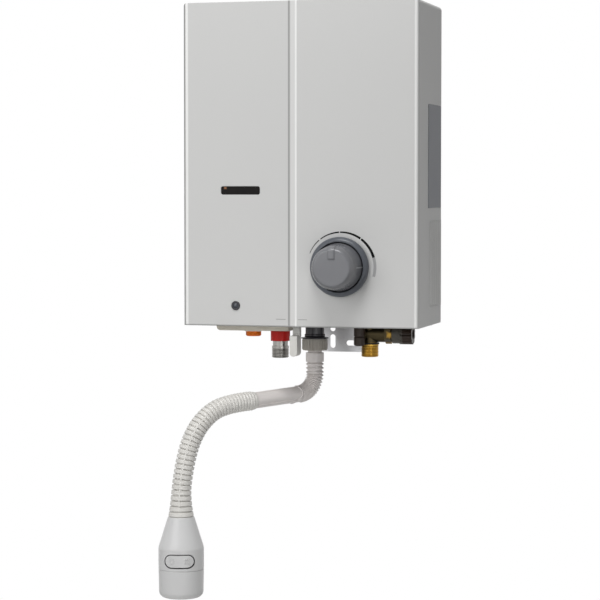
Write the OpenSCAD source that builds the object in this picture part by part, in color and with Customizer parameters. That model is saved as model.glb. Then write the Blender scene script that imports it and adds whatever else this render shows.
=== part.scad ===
// Wall-hung gas water heater with a push-and-turn knob and a swivelling shower spout.
// Millimetres, +Z up. The wall is the plane y = 0 and the front faces -Y.
// The origin is midway between the two upper wall-screw holes, on the wall.

/* [Case] */
// Width of the case
case_w = 290; // [284:1:310]
// Height of the case
case_h = 386; // [380:1:420]
// Depth from the wall to the right front panel
case_d = 145; // [143:1:165]
// How far the left front panel is swept back at its outer edge
left_sweep = 8; // [3:0.5:12]
// Step from the left front panel out to the right one
ridge_step = 3; // [1.5:0.5:5]
// Place of the groove where the left panel ends, from the middle of the case
groove_x = -12; // [-20:0.5:-9]
// Width of the sloping ridge between the panels
ridge_w = 9.5; // [6:0.5:14]
// Sheet thickness of the front cover
sheet_t = 1; // [0.8:0.1:1.4]
// Outer radius of the cover's corners
edge_r = 5; // [3.5:0.5:7]
// Gap between the cover's rear edge and the wall
wall_gap = 2; // [1:0.5:4]
// Height of the side louvres
louvre_h = 104; // [80:1:120]
// Number of louvres on each side
louvre_n = 6; // [4:1:6]
// Pitch of the louvres
louvre_pitch = 12; // [10:0.5:13]
// Height of the louvres' lower ends above the case's lower edge
louvre_rise = 22; // [15:1:40]

/* [Wall plate] */
// Sheet thickness of the wall plate
plate_t = 1.2; // [1:0.1:1.6]
// Depth of the wall plate's folded rim
plate_rim = 14; // [10:1:20]
// Depth of the upper wall-screw holes below the case's top
wall_hole_drop = 26; // [22:1:30]
// Distance between the two upper wall-screw holes
wall_hole_span = 250; // [246:1:254]
// Diameter of the upper wall-screw holes
wall_hole_d = 7; // [5:0.5:9]
// Width of the lower wall tab
tab_w = 82; // [74:1:90]
// Place of the lower wall tab's middle
tab_x = 21; // [15:1:25]
// How far the lower wall tab hangs below the case
tab_drop = 38.5; // [34:0.5:44]
// Width of the tab's slots
slot_w = 6.5; // [5:0.5:8]
// Length of the tab's slots
slot_len = 17; // [13:0.5:20]

/* [Front] */
// Width of the flame window
window_w = 49; // [40:1:56]
// Height of the flame window
window_h = 10; // [7:0.5:12]
// Place of the flame window's middle across the case
window_x = -72.5; // [-76:0.5:-68]
// Depth of the flame window's middle below the case's top
window_drop = 224; // [220:1:228]
// Diameter of the indicator lamp's ring
lamp_d = 11; // [9:0.5:13]
// Place of the lamp across the case
lamp_x = -78.5; // [-90:0.5:-60]
// Height of the lamp above the case's lower edge
lamp_rise = 24.5; // [18:0.5:30]
// Place of the knob across the case
knob_x = 51.5; // [49:0.5:54]
// Height of the knob above the case's lower edge
knob_rise = 72; // [70:0.5:76]

/* [Knob] */
// Outer diameter of the bezel
bezel_d = 71; // [68:0.5:76]
// Height of the bezel over the panel
bezel_h = 12; // [9:0.5:14]
// Diameter of the knob's skirt
knob_d = 57; // [54:0.5:60]
// Gap all round between the knob and the bezel
knob_gap = 1.2; // [0.8:0.1:2]
// Reach of the knob's face from the panel
knob_reach = 48; // [44:0.5:52]
// Diameter of the knob's flat face
face_d = 43.5; // [40:0.5:46]
// Travel of the knob when it is pushed
push_travel = 6; // [4:0.5:7]
// Diameter of the push spindle
spindle_d = 8; // [7:0.5:9]

/* [Battery] */
// Width of the battery lid
lid_w = 90; // [86:1:94]
// Depth of the battery lid, front to back
lid_d = 42; // [41:0.5:44]
// How far the battery lid hangs below the case
lid_drop = 7; // [6:0.5:9]
// Place of the lid's left end
lid_x = -110; // [-113:0.5:-108]
// Distance of the lid's front edge from the wall
lid_front = 112; // [112:0.5:114]

/* [Heat exchanger] */
// Width of the combustion chamber
chamber_w = 176; // [170:1:178]
// Depth of the combustion chamber
chamber_d = 85; // [83:1:90]
// Place of the chamber's middle across the case
chamber_x = -20; // [-22:1:-18]
// Gap between the chamber and the wall
chamber_back = 20; // [19:0.5:24]
// Height of the finned block
fin_h = 46; // [40:1:50]
// Number of fins
fin_n = 22; // [16:1:24]
// Outer diameter of the water tubes
tube_d = 13; // [11:0.5:13.5]
// Wall of the water tubes
tube_t = 1; // [0.8:0.1:1.5]
// Pitch of the tubes through the fins
tube_pitch = 16; // [15.5:0.5:17]
// Number of burner blades
blade_n = 9; // [7:1:10]
// Thickness of a burner blade
blade_t = 9; // [7:0.5:10]

/* [Fittings] */
// Diameter of the half-inch threads
thread_d = 20.955; // [20.5:0.005:21.5]
// Place of the gas inlet across the case
gas_x = -46.8; // [-50:0.2:-44]
// Distance of the gas inlet from the wall
gas_back = 48; // [44:1:50]
// How far the gas inlet reaches below the case
gas_drop = 43.5; // [40:0.5:48]
// Length of the gas thread
gas_thread_len = 14.4; // [12:0.2:18]
// Place of the hot outlet across the case
outlet_x = 3.5; // [2:0.5:5]
// Distance of the hot outlet from the wall
outlet_back = 75; // [74:0.5:77]
// Diameter of the outlet spigot
spigot_d = 22.8; // [21:0.2:24]
// Diameter of the union nut
nut_d = 31; // [29:0.5:33]
// Height of the union nut
nut_h = 14; // [12:0.5:16]
// Place of the water inlet across the case
water_x = 68.8; // [67:0.2:71]
// Distance of the water inlet from the wall
water_back = 60; // [59:0.5:61]
// How far the water inlet reaches below the case
water_drop = 39.6; // [38:0.2:44]
// Length of the water thread
water_thread_len = 15.4; // [13:0.2:16]
// Depth of the filter's axis below the case
filter_drop = 11.5; // [11:0.5:12.5]
// Place of the drain plug across the case
drain_x = -81.5; // [-85:0.5:-78]
// Diameter of the drain plug
drain_d = 19; // [17:0.5:21]
// Width of the capacity lever
lever_w = 9; // [7:0.5:10]
// Place of the lever at its right-hand stop
lever_x = -7; // [-8:0.5:-6]
// Travel of the capacity lever
lever_travel = 16; // [10:0.5:18]
// How far the lever hangs below the case
lever_drop = 35.5; // [32:0.5:40]

/* [Spout] */
// Heading of the spout, counted from +X as seen from above
spout_heading = 225; // [180:5:300]
// Outer radius of the elbow's folds
elbow_r = 10.7; // [10:0.1:11.5]
// Radius of the elbow's bend
elbow_bend = 24; // [22:0.5:28]
// Outer radius of the smooth tube
spout_r = 9.75; // [9:0.05:10.5]
// Outer radius of the hose's ribs
hose_r = 11.6; // [10.5:0.1:12.5]
// Number of ribs on the hose
hose_ribs = 38; // [20:1:60]
// Bore radius of the spout and its hose
spout_bore = 7; // [5:0.5:8]
// Largest diameter of the shower head
head_d = 53.6; // [50:0.2:58]
// Height of the shower head
head_h = 95.5; // [90:0.5:102]
// Width of the rocker button
rocker_w = 33.4; // [30:0.2:36]
// Height of the rocker button
rocker_h = 14.2; // [13:0.2:16]
// Direction that the rocker faces, to the right of straight ahead
rocker_turn = 12; // [0:1:30]

/* [Hidden] */
$fn = 48;

// Clearances: a running fit, a seat between fixed pieces, and a gap between moving bodies
run_gap = 0.06;
seat_gap = 0.05;
move_gap = 0.3;

// Levels and planes of the case
top_z = wall_hole_drop;
bottom_z = top_z - case_h;
half_w = case_w / 2;
front_y = -case_d;
in_y = front_y + sheet_t;
ridge_x = groove_x + ridge_w;
left_run = groove_x + half_w;
facet_angle = atan(left_sweep / left_run);
function left_y(x) = front_y + ridge_step + left_sweep * (groove_x - x) / left_run;

// Controls
window_z = top_z - window_drop;
lamp_z = bottom_z + lamp_rise;
knob_z = bottom_z + knob_rise;
bezel_in_r = knob_d / 2 + knob_gap;
sleeve_t = 1.5;
spindle_r = spindle_d / 2;

// Heat exchanger, from the top down
grille_t = 1.5;
grille_margin = 4;
exhaust_w = chamber_w - 10;
exhaust_d = 42;
wall_t = 0.8;
chamber_y1 = -chamber_back;
chamber_y0 = chamber_y1 - chamber_d;
chamber_yc = (chamber_y0 + chamber_y1) / 2;
chamber_x0 = chamber_x - chamber_w / 2;
chamber_x1 = chamber_x + chamber_w / 2;
hood_h = 72.5;
grille_z = top_z - sheet_t - grille_t;
fins_top = grille_z - hood_h;
fins_z = fins_top - fin_h;
tube_z = fins_z + fin_h / 2;
tube_r = tube_d / 2;
tube_n = 4;
function tube_y(i) = chamber_yc + tube_pitch * (i - (tube_n - 1) / 2);
bend_x0 = chamber_x0 - 6;
bend_x1 = chamber_x1 + 6;
tube_end_x = chamber_x1 + 12;
chamber_z = bottom_z + 152;
burner_h = 42;
burner_z = chamber_z - burner_h;
bar_z = burner_z + 3;
bar_h = 3.5;
blade_z = bar_z + bar_h;
blade_h = 31;
blade_pitch = (chamber_w - 20) / (blade_n - 1) - 1.5;
blade_y0 = chamber_y0 + 5;
blade_y1 = chamber_y1 - 5;
function blade_x(i) = chamber_x + blade_pitch * (i - (blade_n - 1) / 2);
manifold_w = 12;
manifold_y = chamber_y1 + 3;
manifold_z = blade_z + 11;

// Gas valve
valve_x0 = gas_x - 15;
valve_x1 = knob_x - 35.5;
valve_y0 = -66;
valve_y1 = -14;
valve_z0 = knob_z - 42;
valve_z1 = knob_z + 30;
riser_x = chamber_x;
riser_y = manifold_y + manifold_w / 2;
gas_y = -gas_back;
gas_end = bottom_z - gas_drop;
gas_neck_r = thread_d / 2 - 1.1;
band_z0 = bottom_z - 22.8;
band_z1 = bottom_z - 10.5;

// Water governor, on the knob's axis
gov_r = 31;
gov_y0 = -95;
diaphragm_y = -73;
diaphragm_t = 1;
gov_cavity = 21;
gov_neck_r = 9;
gov_neck_y = front_y + 33;
gov_bolt_r = 26.5;
gov_bolts = 6;
cold_y = tube_y(0);
boss_z = knob_z - 47;
collar_y = gov_neck_y - 17;
collar_t = 3;
spindle_in = -86;
spindle_out = front_y - knob_reach + 10;

// Water inlet
water_y = -water_back;
water_end = bottom_z - water_drop;
gov_boss_r = 10;
gov_y1 = water_y + gov_boss_r + 0.5;
filter_z = bottom_z - filter_drop;
tee_r = 10.3;
tee_x0 = water_x - 16;
tee_x1 = water_x + 28.5;
ring_h = 1.6;
relief_r = 6.8;
relief_x = water_x - 9.3;
relief_y = water_y - 17.5;
cap_len = 24.6;
cap_r = 12.4;
strainer_r = 6.6;

// Outlet and spout
outlet_y = -outlet_back;
hot_y = tube_y(tube_n - 1);
hot_z = bottom_z + 15;
spigot_r = spigot_d / 2;
flange_z = bottom_z - 17.5;
flange_t = 1.2;
nut_z1 = flange_z - 0.1;
nut_z0 = nut_z1 - nut_h;
nut_lip = 1.6;
neck_r = 8.4;
tail_flange_r = 10.2;
gasket_t = 1.5;
collar_z1 = nut_z0 - 3.2;
collar_z0 = collar_z1 - 11;
elbow_straight = 14.5;
elbow_folds = 3;
bend_folds = 14;
elbow_z = collar_z0 - elbow_straight;
// The ribbed hose's route, in the spout's own plane: distance from the outlet's axis, and height
hose_route = [
    [84.5, -449.2], [94, -449.8], [104, -450.5], [115, -451.9], [125.5, -453.9], [135.5, -457],
    [144.5, -461.9], [152.5, -468.3], [160.1, -476.2], [166.3, -485.4], [171.3, -495.4],
    [175.2, -506.4], [178.2, -517.6], [180.6, -529], [182.6, -541], [183.8, -553], [184.2, -567],
    [184.2, -581.5]
];
hose_start = hose_route[0];
// The elbow turns until its end looks straight at the hose's start
elbow_to_hose = hose_start - [elbow_bend, elbow_z];
elbow_turn = atan2(elbow_to_hose[1], elbow_to_hose[0]) + acos(-elbow_bend / norm(elbow_to_hose));
elbow_len = elbow_bend * elbow_turn * PI / 180;
elbow_end = [elbow_bend * (1 - cos(elbow_turn)), elbow_z - elbow_bend * sin(elbow_turn)];
hose_end = hose_route[len(hose_route) - 1];
hose_sides = 8;
hose_fold = 1.3;
hose_flare = 3.6;
hose_flare_ribs = 7;
head_z1 = hose_end[1];
head_z0 = head_z1 - head_h;
head_r = head_d / 2;
head_neck_r = hose_r + hose_flare + 0.6;
head_wall = 2.5;
head_cone_z = head_z1 - 36;
head_round = 8;
rocker_z = head_z1 - 49.5;
rocker_pin_r = 1.5;
rocker_pin_y = -(head_r - 6.3);
spray_z = head_z0 + 1.2;
spray_t = 3;
spray_r = head_r - head_round + 2;

// Battery box under the case's left half
lid_y0 = -lid_front;
lid_y1 = lid_y0 + lid_d;
lid_x1 = lid_x + lid_w;
lid_z0 = bottom_z - lid_drop;
lid_h = lid_drop - 0.6;
lid_wall = 1.8;
hinge_r = 3.4;
hinge_pin_r = 1.5;
hinge_y = lid_y1 - 1;
hinge_z = lid_z0 + 5.4;
box_wall = 2;
box_z0 = hinge_z + hinge_r + 0.5;
box_h = 40;
ear_t = 3;
cell_r = 16.6;
cell_len = 57;
cell_y = (lid_y0 + lid_y1) / 2;
cell_z = box_z0 + 19;
cell_xc = lid_x + lid_w / 2;

// Capacity lever and its bracket
lever_stem_y = -122;
lever_stem_d = 8;
lever_head = [16, 14, 6];
bracket_t = 2.5;
bracket_z = valve_z0 + 0.5;
paddle_d = 20;
paddle_h = 24.5;

// Wall plate's sheet edges and cover tabs
plate_x = half_w - sheet_t - move_gap;
tab_ear = 16;
tab_y = -30;
tab_screw_r = 2;

// Shapes used by several pieces

module block(x0, x1, y0, y1, z0, z1) {
    translate([x0, y0, z0]) cube([x1 - x0, y1 - y0, z1 - z0]);
}

// A rod along Y, at [x, z]
module rod_y(at, r, y0, y1) {
    translate([at[0], y0, at[1]]) rotate([-90, 0, 0]) cylinder(r = r, h = y1 - y0);
}

// A rod along X, at [y, z]
module rod_x(at, r, x0, x1) {
    translate([x0, at[0], at[1]]) rotate([0, 90, 0]) cylinder(r = r, h = x1 - x0);
}

// An upright rod, at [x, y]
module rod_z(at, r, z0, z1) {
    translate([at[0], at[1], z0]) cylinder(r = r, h = z1 - z0);
}

// A turned piece whose profile gives radius and height towards the viewer
module lathe_y(profile) {
    rotate([90, 0, 0]) rotate_extrude() polygon(profile);
}

module round_rect(w, h, r) {
    square([w - 2 * r, h], center = true);
    square([w, h - 2 * r], center = true);
    for (sx = [-1, 1], sy = [-1, 1]) translate([sx * (w / 2 - r), sy * (h / 2 - r)]) circle(r);
}

// An upright plate, rounded as seen from the front, from y0 to y1
module round_plate(w, h, r, y0, y1) {
    translate([0, y1, 0]) rotate([90, 0, 0]) linear_extrude(y1 - y0) round_rect(w, h, r);
}

// Stands a piece on the left front panel, whose outside faces local -Y
module on_left_panel(x, z) {
    translate([x, left_y(x), z]) rotate([0, 0, -facet_angle]) children();
}

module on_knob_axis() {
    translate([knob_x, 0, knob_z]) children();
}

module in_spout_plane() {
    translate([outlet_x, outlet_y, 0]) rotate([0, 0, spout_heading]) children();
}

// The shower head's own axes: the rocker faces local -Y
module on_head_axis() {
    in_spout_plane() translate([hose_end[0], 0, 0]) rotate([0, 0, rocker_turn - spout_heading]) children();
}

// Pipes bent round corners

function unit(v) = v / norm(v);
function turn_angle(u, v) = acos(u * v);

module pipe_straight(a, b, r) {
    d = b - a;
    translate(a) rotate([0, acos(d[2] / norm(d)), atan2(d[1], d[0])]) cylinder(r = r, h = norm(d));
}

module pipe_corner(a, p, b, r, bend) {
    u = unit(p - a);
    v = unit(b - p);
    phi = turn_angle(u, v);
    n = unit(v - (u * v) * u);
    c = p - u * bend * tan(phi / 2) + n * bend;
    k = cross(-n, u);
    multmatrix([
        [-n[0], u[0], k[0], c[0]],
        [-n[1], u[1], k[1], c[1]],
        [-n[2], u[2], k[2], c[2]]
    ]) rotate_extrude(angle = phi) translate([bend, 0]) circle(r);
}

function corner_cut(pts, i, bend) =
    i == 0 || i == len(pts) - 1 ? 0 :
    bend * tan(turn_angle(unit(pts[i] - pts[i - 1]), unit(pts[i + 1] - pts[i])) / 2);

module pipe_solid(pts, r, bend) {
    for (i = [0 : len(pts) - 2]) {
        u = unit(pts[i + 1] - pts[i]);
        a = pts[i] + u * corner_cut(pts, i, bend);
        b = pts[i + 1] - u * corner_cut(pts, i + 1, bend);
        pipe_straight(a, b, r);
    }
    for (i = [1 : 1 : len(pts) - 2]) pipe_corner(pts[i - 1], pts[i], pts[i + 1], r, bend);
}

module bent_pipe(pts, r, wall, bend) {
    difference() {
        pipe_solid(pts, r, bend);
        pipe_solid(pts, r - wall, bend);
    }
}

// Ribbed tubes, swept along a path that lies in the local XZ plane

// Rings of a tube: path points [x, z], their directions as angles, and a radius for each
function ring(c, a, r, sides) = [
    for (j = [0 : sides - 1]) let (t = 360 * j / sides)
    [c[0] + r * cos(t) * -sin(a), r * sin(t), c[1] + r * cos(t) * cos(a)]
];

function tube_points(centres, angles, radii, bore, sides) = concat(
    [for (i = [0 : len(centres) - 1]) each ring(centres[i], angles[i], radii[i], sides)],
    [for (i = [0 : len(centres) - 1]) each ring(centres[i], angles[i], bore, sides)]
);

function tube_faces(rings, sides) = let (inner = rings * sides, last = (rings - 1) * sides) concat(
    [for (i = [0 : rings - 2], j = [0 : sides - 1]) let (a = i * sides, k = (j + 1) % sides)
        each [[a + j, a + k, a + sides + k], [a + j, a + sides + k, a + sides + j]]],
    [for (i = [0 : rings - 2], j = [0 : sides - 1]) let (a = inner + i * sides, k = (j + 1) % sides)
        each [[a + j, a + sides + k, a + k], [a + j, a + sides + j, a + sides + k]]],
    [for (j = [0 : sides - 1]) let (k = (j + 1) % sides)
        each [[j, inner + j, inner + k], [j, inner + k, k]]],
    [for (j = [0 : sides - 1]) let (k = (j + 1) % sides)
        each [[last + j, inner + last + k, inner + last + j], [last + j, last + k, inner + last + k]]]
);

module ribbed_tube(centres, angles, radii, bore, sides) {
    polyhedron(
        tube_points(centres, angles, radii, bore, sides),
        tube_faces(len(centres), sides)
    );
}

// A smooth curve through a route's points; q counts along the points
function route_knot(pts, i) =
    i < 0 ? 2 * pts[0] - pts[1] :
    i >= len(pts) ? 2 * pts[len(pts) - 1] - pts[len(pts) - 2] : pts[i];
function route_point(pts, q) = let (
    i = min(floor(q), len(pts) - 2), t = q - i,
    a = route_knot(pts, i - 1), b = pts[i], c = pts[i + 1], d = route_knot(pts, i + 2)
) 0.5 * (2 * b + (c - a) * t + (2 * a - 5 * b + 4 * c - d) * t * t + (3 * b - a - 3 * c + d) * t * t * t);
function route_angle(pts, q) = let (
    s = 0.02, d = route_point(pts, min(q + s, len(pts) - 1)) - route_point(pts, max(q - s, 0))
) atan2(d[1], d[0]);

// Case

// Corners of the front, and the inward directions that its three faces and their mitres have
groove_p = [groove_x, front_y + ridge_step];
ridge_p = [ridge_x, front_y];
ridge_angle = atan(ridge_step / ridge_w);
left_in = [sin(facet_angle), cos(facet_angle)];
ridge_in = [sin(ridge_angle), cos(ridge_angle)];
right_in = [0, 1];
groove_mitre = (left_in + ridge_in) / (1 + left_in * ridge_in);
ridge_mitre = (ridge_in + right_in) / (1 + ridge_in * right_in);

// The cover's outline seen from above, moved in by a sheet
module cover_outline(inset) {
    r = edge_r - inset;
    right_c = [half_w - edge_r, front_y + edge_r];
    left_c = [-half_w + edge_r, left_y(-half_w + edge_r) + edge_r / cos(facet_angle)];
    polygon([
        [-half_w + inset, -wall_gap],
        [-half_w + inset, left_c[1]],
        left_c - r * left_in,
        groove_p + inset * groove_mitre,
        ridge_p + inset * ridge_mitre,
        [right_c[0], front_y + inset],
        [half_w - inset, right_c[1]],
        [half_w - inset, -wall_gap]
    ]);
    translate(left_c) circle(r - 0.02);
    translate(right_c) circle(r - 0.02);
}

// The cover's outline seen from the front, open downwards past z0
module cover_front_outline(inset, z0) {
    r = edge_r - inset;
    w = case_w - 2 * inset;
    translate([-w / 2, z0]) square([w, top_z - edge_r - z0]);
    translate([-w / 2 + r, z0]) square([w - 2 * r, top_z - inset - z0]);
    for (s = [-1, 1]) translate([s * (half_w - edge_r), top_z - edge_r]) circle(r);
}

module cover_solid(inset) {
    z0 = bottom_z - (inset > 0 ? 1 : 0);
    intersection() {
        translate([0, 0, z0]) linear_extrude(top_z - inset - z0) cover_outline(inset);
        rotate([90, 0, 0]) translate([0, 0, -1]) linear_extrude(case_d + 2)
            cover_front_outline(inset, z0);
    }
}

// One louvre: a hood pressed out of the side, beside a slot
louvre_z = bottom_z + louvre_rise;
function louvre_y(i) = -11 - i * louvre_pitch;

module louvre_hood() {
    linear_extrude(louvre_h) polygon([[-0.1, 0], [0, 0], [1.5, 1.2], [1.5, 2], [0, 6], [-0.1, 6]]);
}

// Folded tab at the foot of each side, where a screw holds the cover
module cover_tabs() {
    for (side = [-1, 1]) difference() {
        block(side * (half_w - sheet_t / 2) - (side > 0 ? tab_ear : 0),
              side * (half_w - sheet_t / 2) + (side > 0 ? 0 : tab_ear),
              tab_y - 8, tab_y + 8, bottom_z, bottom_z + sheet_t);
        rod_z([side * (half_w - 9), tab_y], tab_screw_r + 0.2, bottom_z - 1, bottom_z + sheet_t + 1);
    }
}

module front_cover() {
    color("gainsboro") {
        difference() {
            cover_solid(0);
            cover_solid(sheet_t);
            on_left_panel(window_x, window_z) round_plate(window_w, window_h, 2.5, -2, 4);
            on_left_panel(lamp_x, lamp_z) rod_y([0, 0], lamp_d / 2 - 0.9, -2, 4);
            on_knob_axis() rod_y([0, 0], bezel_in_r + sleeve_t + 0.2, front_y - 1, front_y + 4);
            block(chamber_x - exhaust_w / 2, chamber_x + exhaust_w / 2,
                  chamber_yc - exhaust_d / 2, chamber_yc + exhaust_d / 2, top_z - 3, top_z + 1);
            for (side = [-1, 1], i = [0 : louvre_n - 1])
                block(side * half_w - 3, side * half_w + 3, louvre_y(i) - 2.4, louvre_y(i),
                      louvre_z + 2, louvre_z + louvre_h - 2);
        }
        for (i = [0 : louvre_n - 1]) {
            translate([half_w, louvre_y(i), louvre_z]) louvre_hood();
            translate([-half_w, louvre_y(i), louvre_z]) mirror([1, 0, 0]) louvre_hood();
        }
        cover_tabs();
    }
}

// The wall plate's face as seen from the front, with its upper corners cut to clear the cover's rounds
module plate_face(z0, z1) {
    cut = edge_r - sheet_t - 0.5;
    polygon([
        [-plate_x, z0], [plate_x, z0], [plate_x, z1 - cut], [plate_x - cut, z1],
        [cut - plate_x, z1], [-plate_x, z1 - cut]
    ]);
}

// Wall plate with folded rims, cover ears and the lower wall tab
module back_plate() {
    z1 = top_z - sheet_t - move_gap;
    z0 = bottom_z + sheet_t;
    tab_z = bottom_z - tab_drop;
    mid_z = bottom_z - 25.5;
    cut = edge_r - sheet_t - 0.5;
    color("silver") {
        difference() {
            union() {
                rotate([90, 0, 0]) linear_extrude(plate_t) plate_face(z0, z1);
                block(tab_x - tab_w / 2, tab_x + tab_w / 2, -plate_t, 0, tab_z, z0 + 1);
            }
            for (s = [-1, 1]) rod_y([s * wall_hole_span / 2, 0], wall_hole_d / 2, -5, 5);
            translate([tab_x - 12.4, 0, mid_z]) round_plate(slot_w, slot_len, slot_w / 2 - 0.1, -5, 5);
            translate([tab_x + 14.5, 0, mid_z - 2])
                round_plate(slot_len + 2, slot_w, slot_w / 2 - 0.1, -5, 5);
            rod_y([tab_x - 12.4, mid_z + slot_len / 2 + 7], 3.2, -5, 5);
        }
        for (s = [-1, 1])
            block(s > 0 ? plate_x - plate_t : -plate_x, s > 0 ? plate_x : plate_t - plate_x,
                  -plate_rim, -plate_t / 2, z0, z1 - cut - 1);
        block(cut + 1 - plate_x, plate_x - cut - 1, -plate_rim, -plate_t / 2, z1 - plate_t, z1);
        for (s = [-1, 1]) difference() {
            block(s * (half_w - 10) - 7, s * (half_w - 10) + 7, tab_y - 8, -plate_t / 2, z0, z0 + plate_t);
            rod_z([s * (half_w - 9), tab_y], tab_screw_r, z0 - 1, z0 + plate_t + 1);
        }
    }
}

module exhaust_grille() {
    w = exhaust_w + 2 * grille_margin;
    d = exhaust_d + 2 * grille_margin;
    slots = 14;
    pitch = exhaust_w / slots;
    color("dimgray") difference() {
        block(chamber_x - w / 2, chamber_x + w / 2, chamber_yc - d / 2, chamber_yc + d / 2,
              grille_z, grille_z + grille_t);
        for (i = [0 : slots - 1]) {
            x = chamber_x - exhaust_w / 2 + pitch * (i + 0.5);
            block(x - 4, x + 4, chamber_yc - exhaust_d / 2, chamber_yc + exhaust_d / 2,
                  grille_z - 1, grille_z + grille_t + 1);
        }
    }
}

module cover_screws() {
    color("silver") for (s = [-1, 1]) translate([s * (half_w - 9), tab_y, bottom_z]) {
        difference() {
            translate([0, 0, -2.2]) cylinder(r = 3.8, h = 2.2);
            translate([-3, -0.5, -3]) cube([6, 1, 1.8]);
            translate([-0.5, -3, -3]) cube([1, 6, 1.8]);
        }
        translate([0, 0, -0.1]) cylinder(r = tab_screw_r, h = 8);
    }
}

module window_pane() {
    color("dimgray", 0.8) on_left_panel(window_x, window_z) {
        round_plate(window_w + 8, window_h + 7, 2, sheet_t, sheet_t + 1.5);
        round_plate(window_w - 0.2, window_h - 0.2, 2.4, 0.4, sheet_t + 0.2);
    }
}

module lamp_bezel() {
    hole_r = lamp_d / 2 - 0.9;
    color("dimgray") on_left_panel(lamp_x, lamp_z) lathe_y([
        [hole_r - 1.2, -4], [hole_r, -4], [hole_r, 0], [lamp_d / 2, 0],
        [lamp_d / 2, 0.6], [lamp_d / 2 - 0.6, 1.2], [hole_r - 1.2, 1.2]
    ]);
}

module lamp_lens() {
    r = lamp_d / 2 - 2.1;
    color("firebrick") on_left_panel(lamp_x, lamp_z)
        lathe_y([[0, -4], [r, -4], [r, 0.6], [r * 0.8, 1.2], [r * 0.45, 1.5], [0, 1.6]]);
}

// Ring round the knob, with a dish behind it
module knob_bezel() {
    r = bezel_d / 2;
    s = bezel_in_r;
    color("slategray") on_knob_axis() translate([0, front_y, 0]) lathe_y([
        [5.5, -7.5], [s + sleeve_t, -7.5], [s + sleeve_t, 0], [r - 1, 0], [r - 0.2, bezel_h * 0.25],
        [r, bezel_h * 0.45], [r - 0.3, bezel_h * 0.6], [r - 1.3, bezel_h * 0.78],
        [r - 2.8, bezel_h * 0.92], [r - 4.8, bezel_h], [s, bezel_h], [s, -6], [5.5, -6]
    ]);
}

// Exhaust hood, from the finned block up to the grille
module hood_profile(inset) {
    top = exhaust_d / 2 + grille_margin - inset;
    e = inset > 0 ? 1 : 0;
    polygon([
        [chamber_y0 + inset, fins_top - e], [chamber_y1 - inset, fins_top - e],
        [chamber_y1 - inset, fins_top + 8], [chamber_yc + top, grille_z - 12],
        [chamber_yc + top, grille_z + e], [chamber_yc - top, grille_z + e],
        [chamber_yc - top, grille_z - 12], [chamber_y0 + inset, fins_top + 8]
    ]);
}

module exhaust_hood() {
    color("silver") difference() {
        translate([chamber_x0, 0, 0]) rotate([90, 0, 90]) linear_extrude(chamber_w) hood_profile(0);
        translate([chamber_x0 + wall_t, 0, 0]) rotate([90, 0, 90])
            linear_extrude(chamber_w - 2 * wall_t) hood_profile(wall_t);
    }
}

// A sheet of the finned block, with a hole for each tube
module fin(x, t) {
    translate([x, 0, 0]) rotate([90, 0, 90]) linear_extrude(t) difference() {
        translate([chamber_y0, fins_z]) square([chamber_d, fin_h]);
        for (i = [0 : tube_n - 1]) translate([tube_y(i), tube_z]) circle(tube_r);
    }
}

module exchanger_fins() {
    fin_pitch = (chamber_w - 12) / (fin_n - 1);
    color("peru") {
        fin(chamber_x0, wall_t);
        fin(chamber_x1 - wall_t, wall_t);
        for (i = [0 : fin_n - 1]) fin(chamber_x - (chamber_w - 12) / 2 + i * fin_pitch - 0.25, 0.5);
        block(chamber_x0, chamber_x1, chamber_y0, chamber_y0 + wall_t, fins_z, fins_top);
        block(chamber_x0, chamber_x1, chamber_y1 - wall_t, chamber_y1, fins_z, fins_top);
    }
}

module tube_bend(x, y, start, r) {
    translate([x, y, tube_z]) rotate([0, 0, start]) rotate_extrude(angle = 180)
        translate([tube_pitch / 2, 0]) circle(r);
}

module tube_run(r, e) {
    for (i = [0, 3]) rod_x([tube_y(i), tube_z], r, bend_x0, tube_end_x + e);
    for (i = [1, 2]) rod_x([tube_y(i), tube_z], r, bend_x0, bend_x1);
    tube_bend(bend_x0, (tube_y(0) + tube_y(1)) / 2, 90, r);
    tube_bend(bend_x0, (tube_y(2) + tube_y(3)) / 2, 90, r);
    tube_bend(bend_x1, (tube_y(1) + tube_y(2)) / 2, -90, r);
}

// The drain pipe leaves from the lowest point of the left rear bend
drain_y = (tube_y(2) + tube_y(3)) / 2;
drain_pipe_x = bend_x0 - tube_pitch / 2;
drain_top = tube_z - tube_r - 6;
drain_z = bottom_z + 14;
drain_bore = 1.8;

module exchanger_tubes() {
    color("chocolate") difference() {
        union() {
            tube_run(tube_r, 0);
            rod_z([drain_pipe_x, drain_y], 4.5, drain_top, tube_z);
        }
        tube_run(tube_r - tube_t, 1);
        rod_z([drain_pipe_x, drain_y], drain_bore, drain_top - 1, tube_z);
    }
}

module combustion_chamber() {
    color("silver") difference() {
        block(chamber_x0, chamber_x1, chamber_y0, chamber_y1, chamber_z, fins_z);
        block(chamber_x0 + wall_t, chamber_x1 - wall_t, chamber_y0 + wall_t, chamber_y1 - wall_t,
              chamber_z - 1, fins_z + 1);
        translate([window_x, 0, window_z]) round_plate(20, 12, 4, chamber_y0 - 1, chamber_y0 + 3);
        rod_y([chamber_x - 30, chamber_z + 6], 3, chamber_y0 - 1, chamber_y0 + 3);
        rod_y([chamber_x + 30, chamber_z + 6], 3, chamber_y0 - 1, chamber_y0 + 3);
    }
}

// Two folded straps that carry the chamber on the wall plate
module chamber_brackets() {
    z = chamber_z + 70;
    color("silver") for (x = [chamber_x - 60, chamber_x + 60]) {
        block(x - 10, x + 10, chamber_y1, -plate_t, z, z + 1.5);
        block(x - 10, x + 10, chamber_y1, chamber_y1 + 1.5, z - 14, z + 1);
        block(x - 10, x + 10, -plate_t - 1.5, -plate_t, z - 14, z + 1);
    }
}

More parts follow.
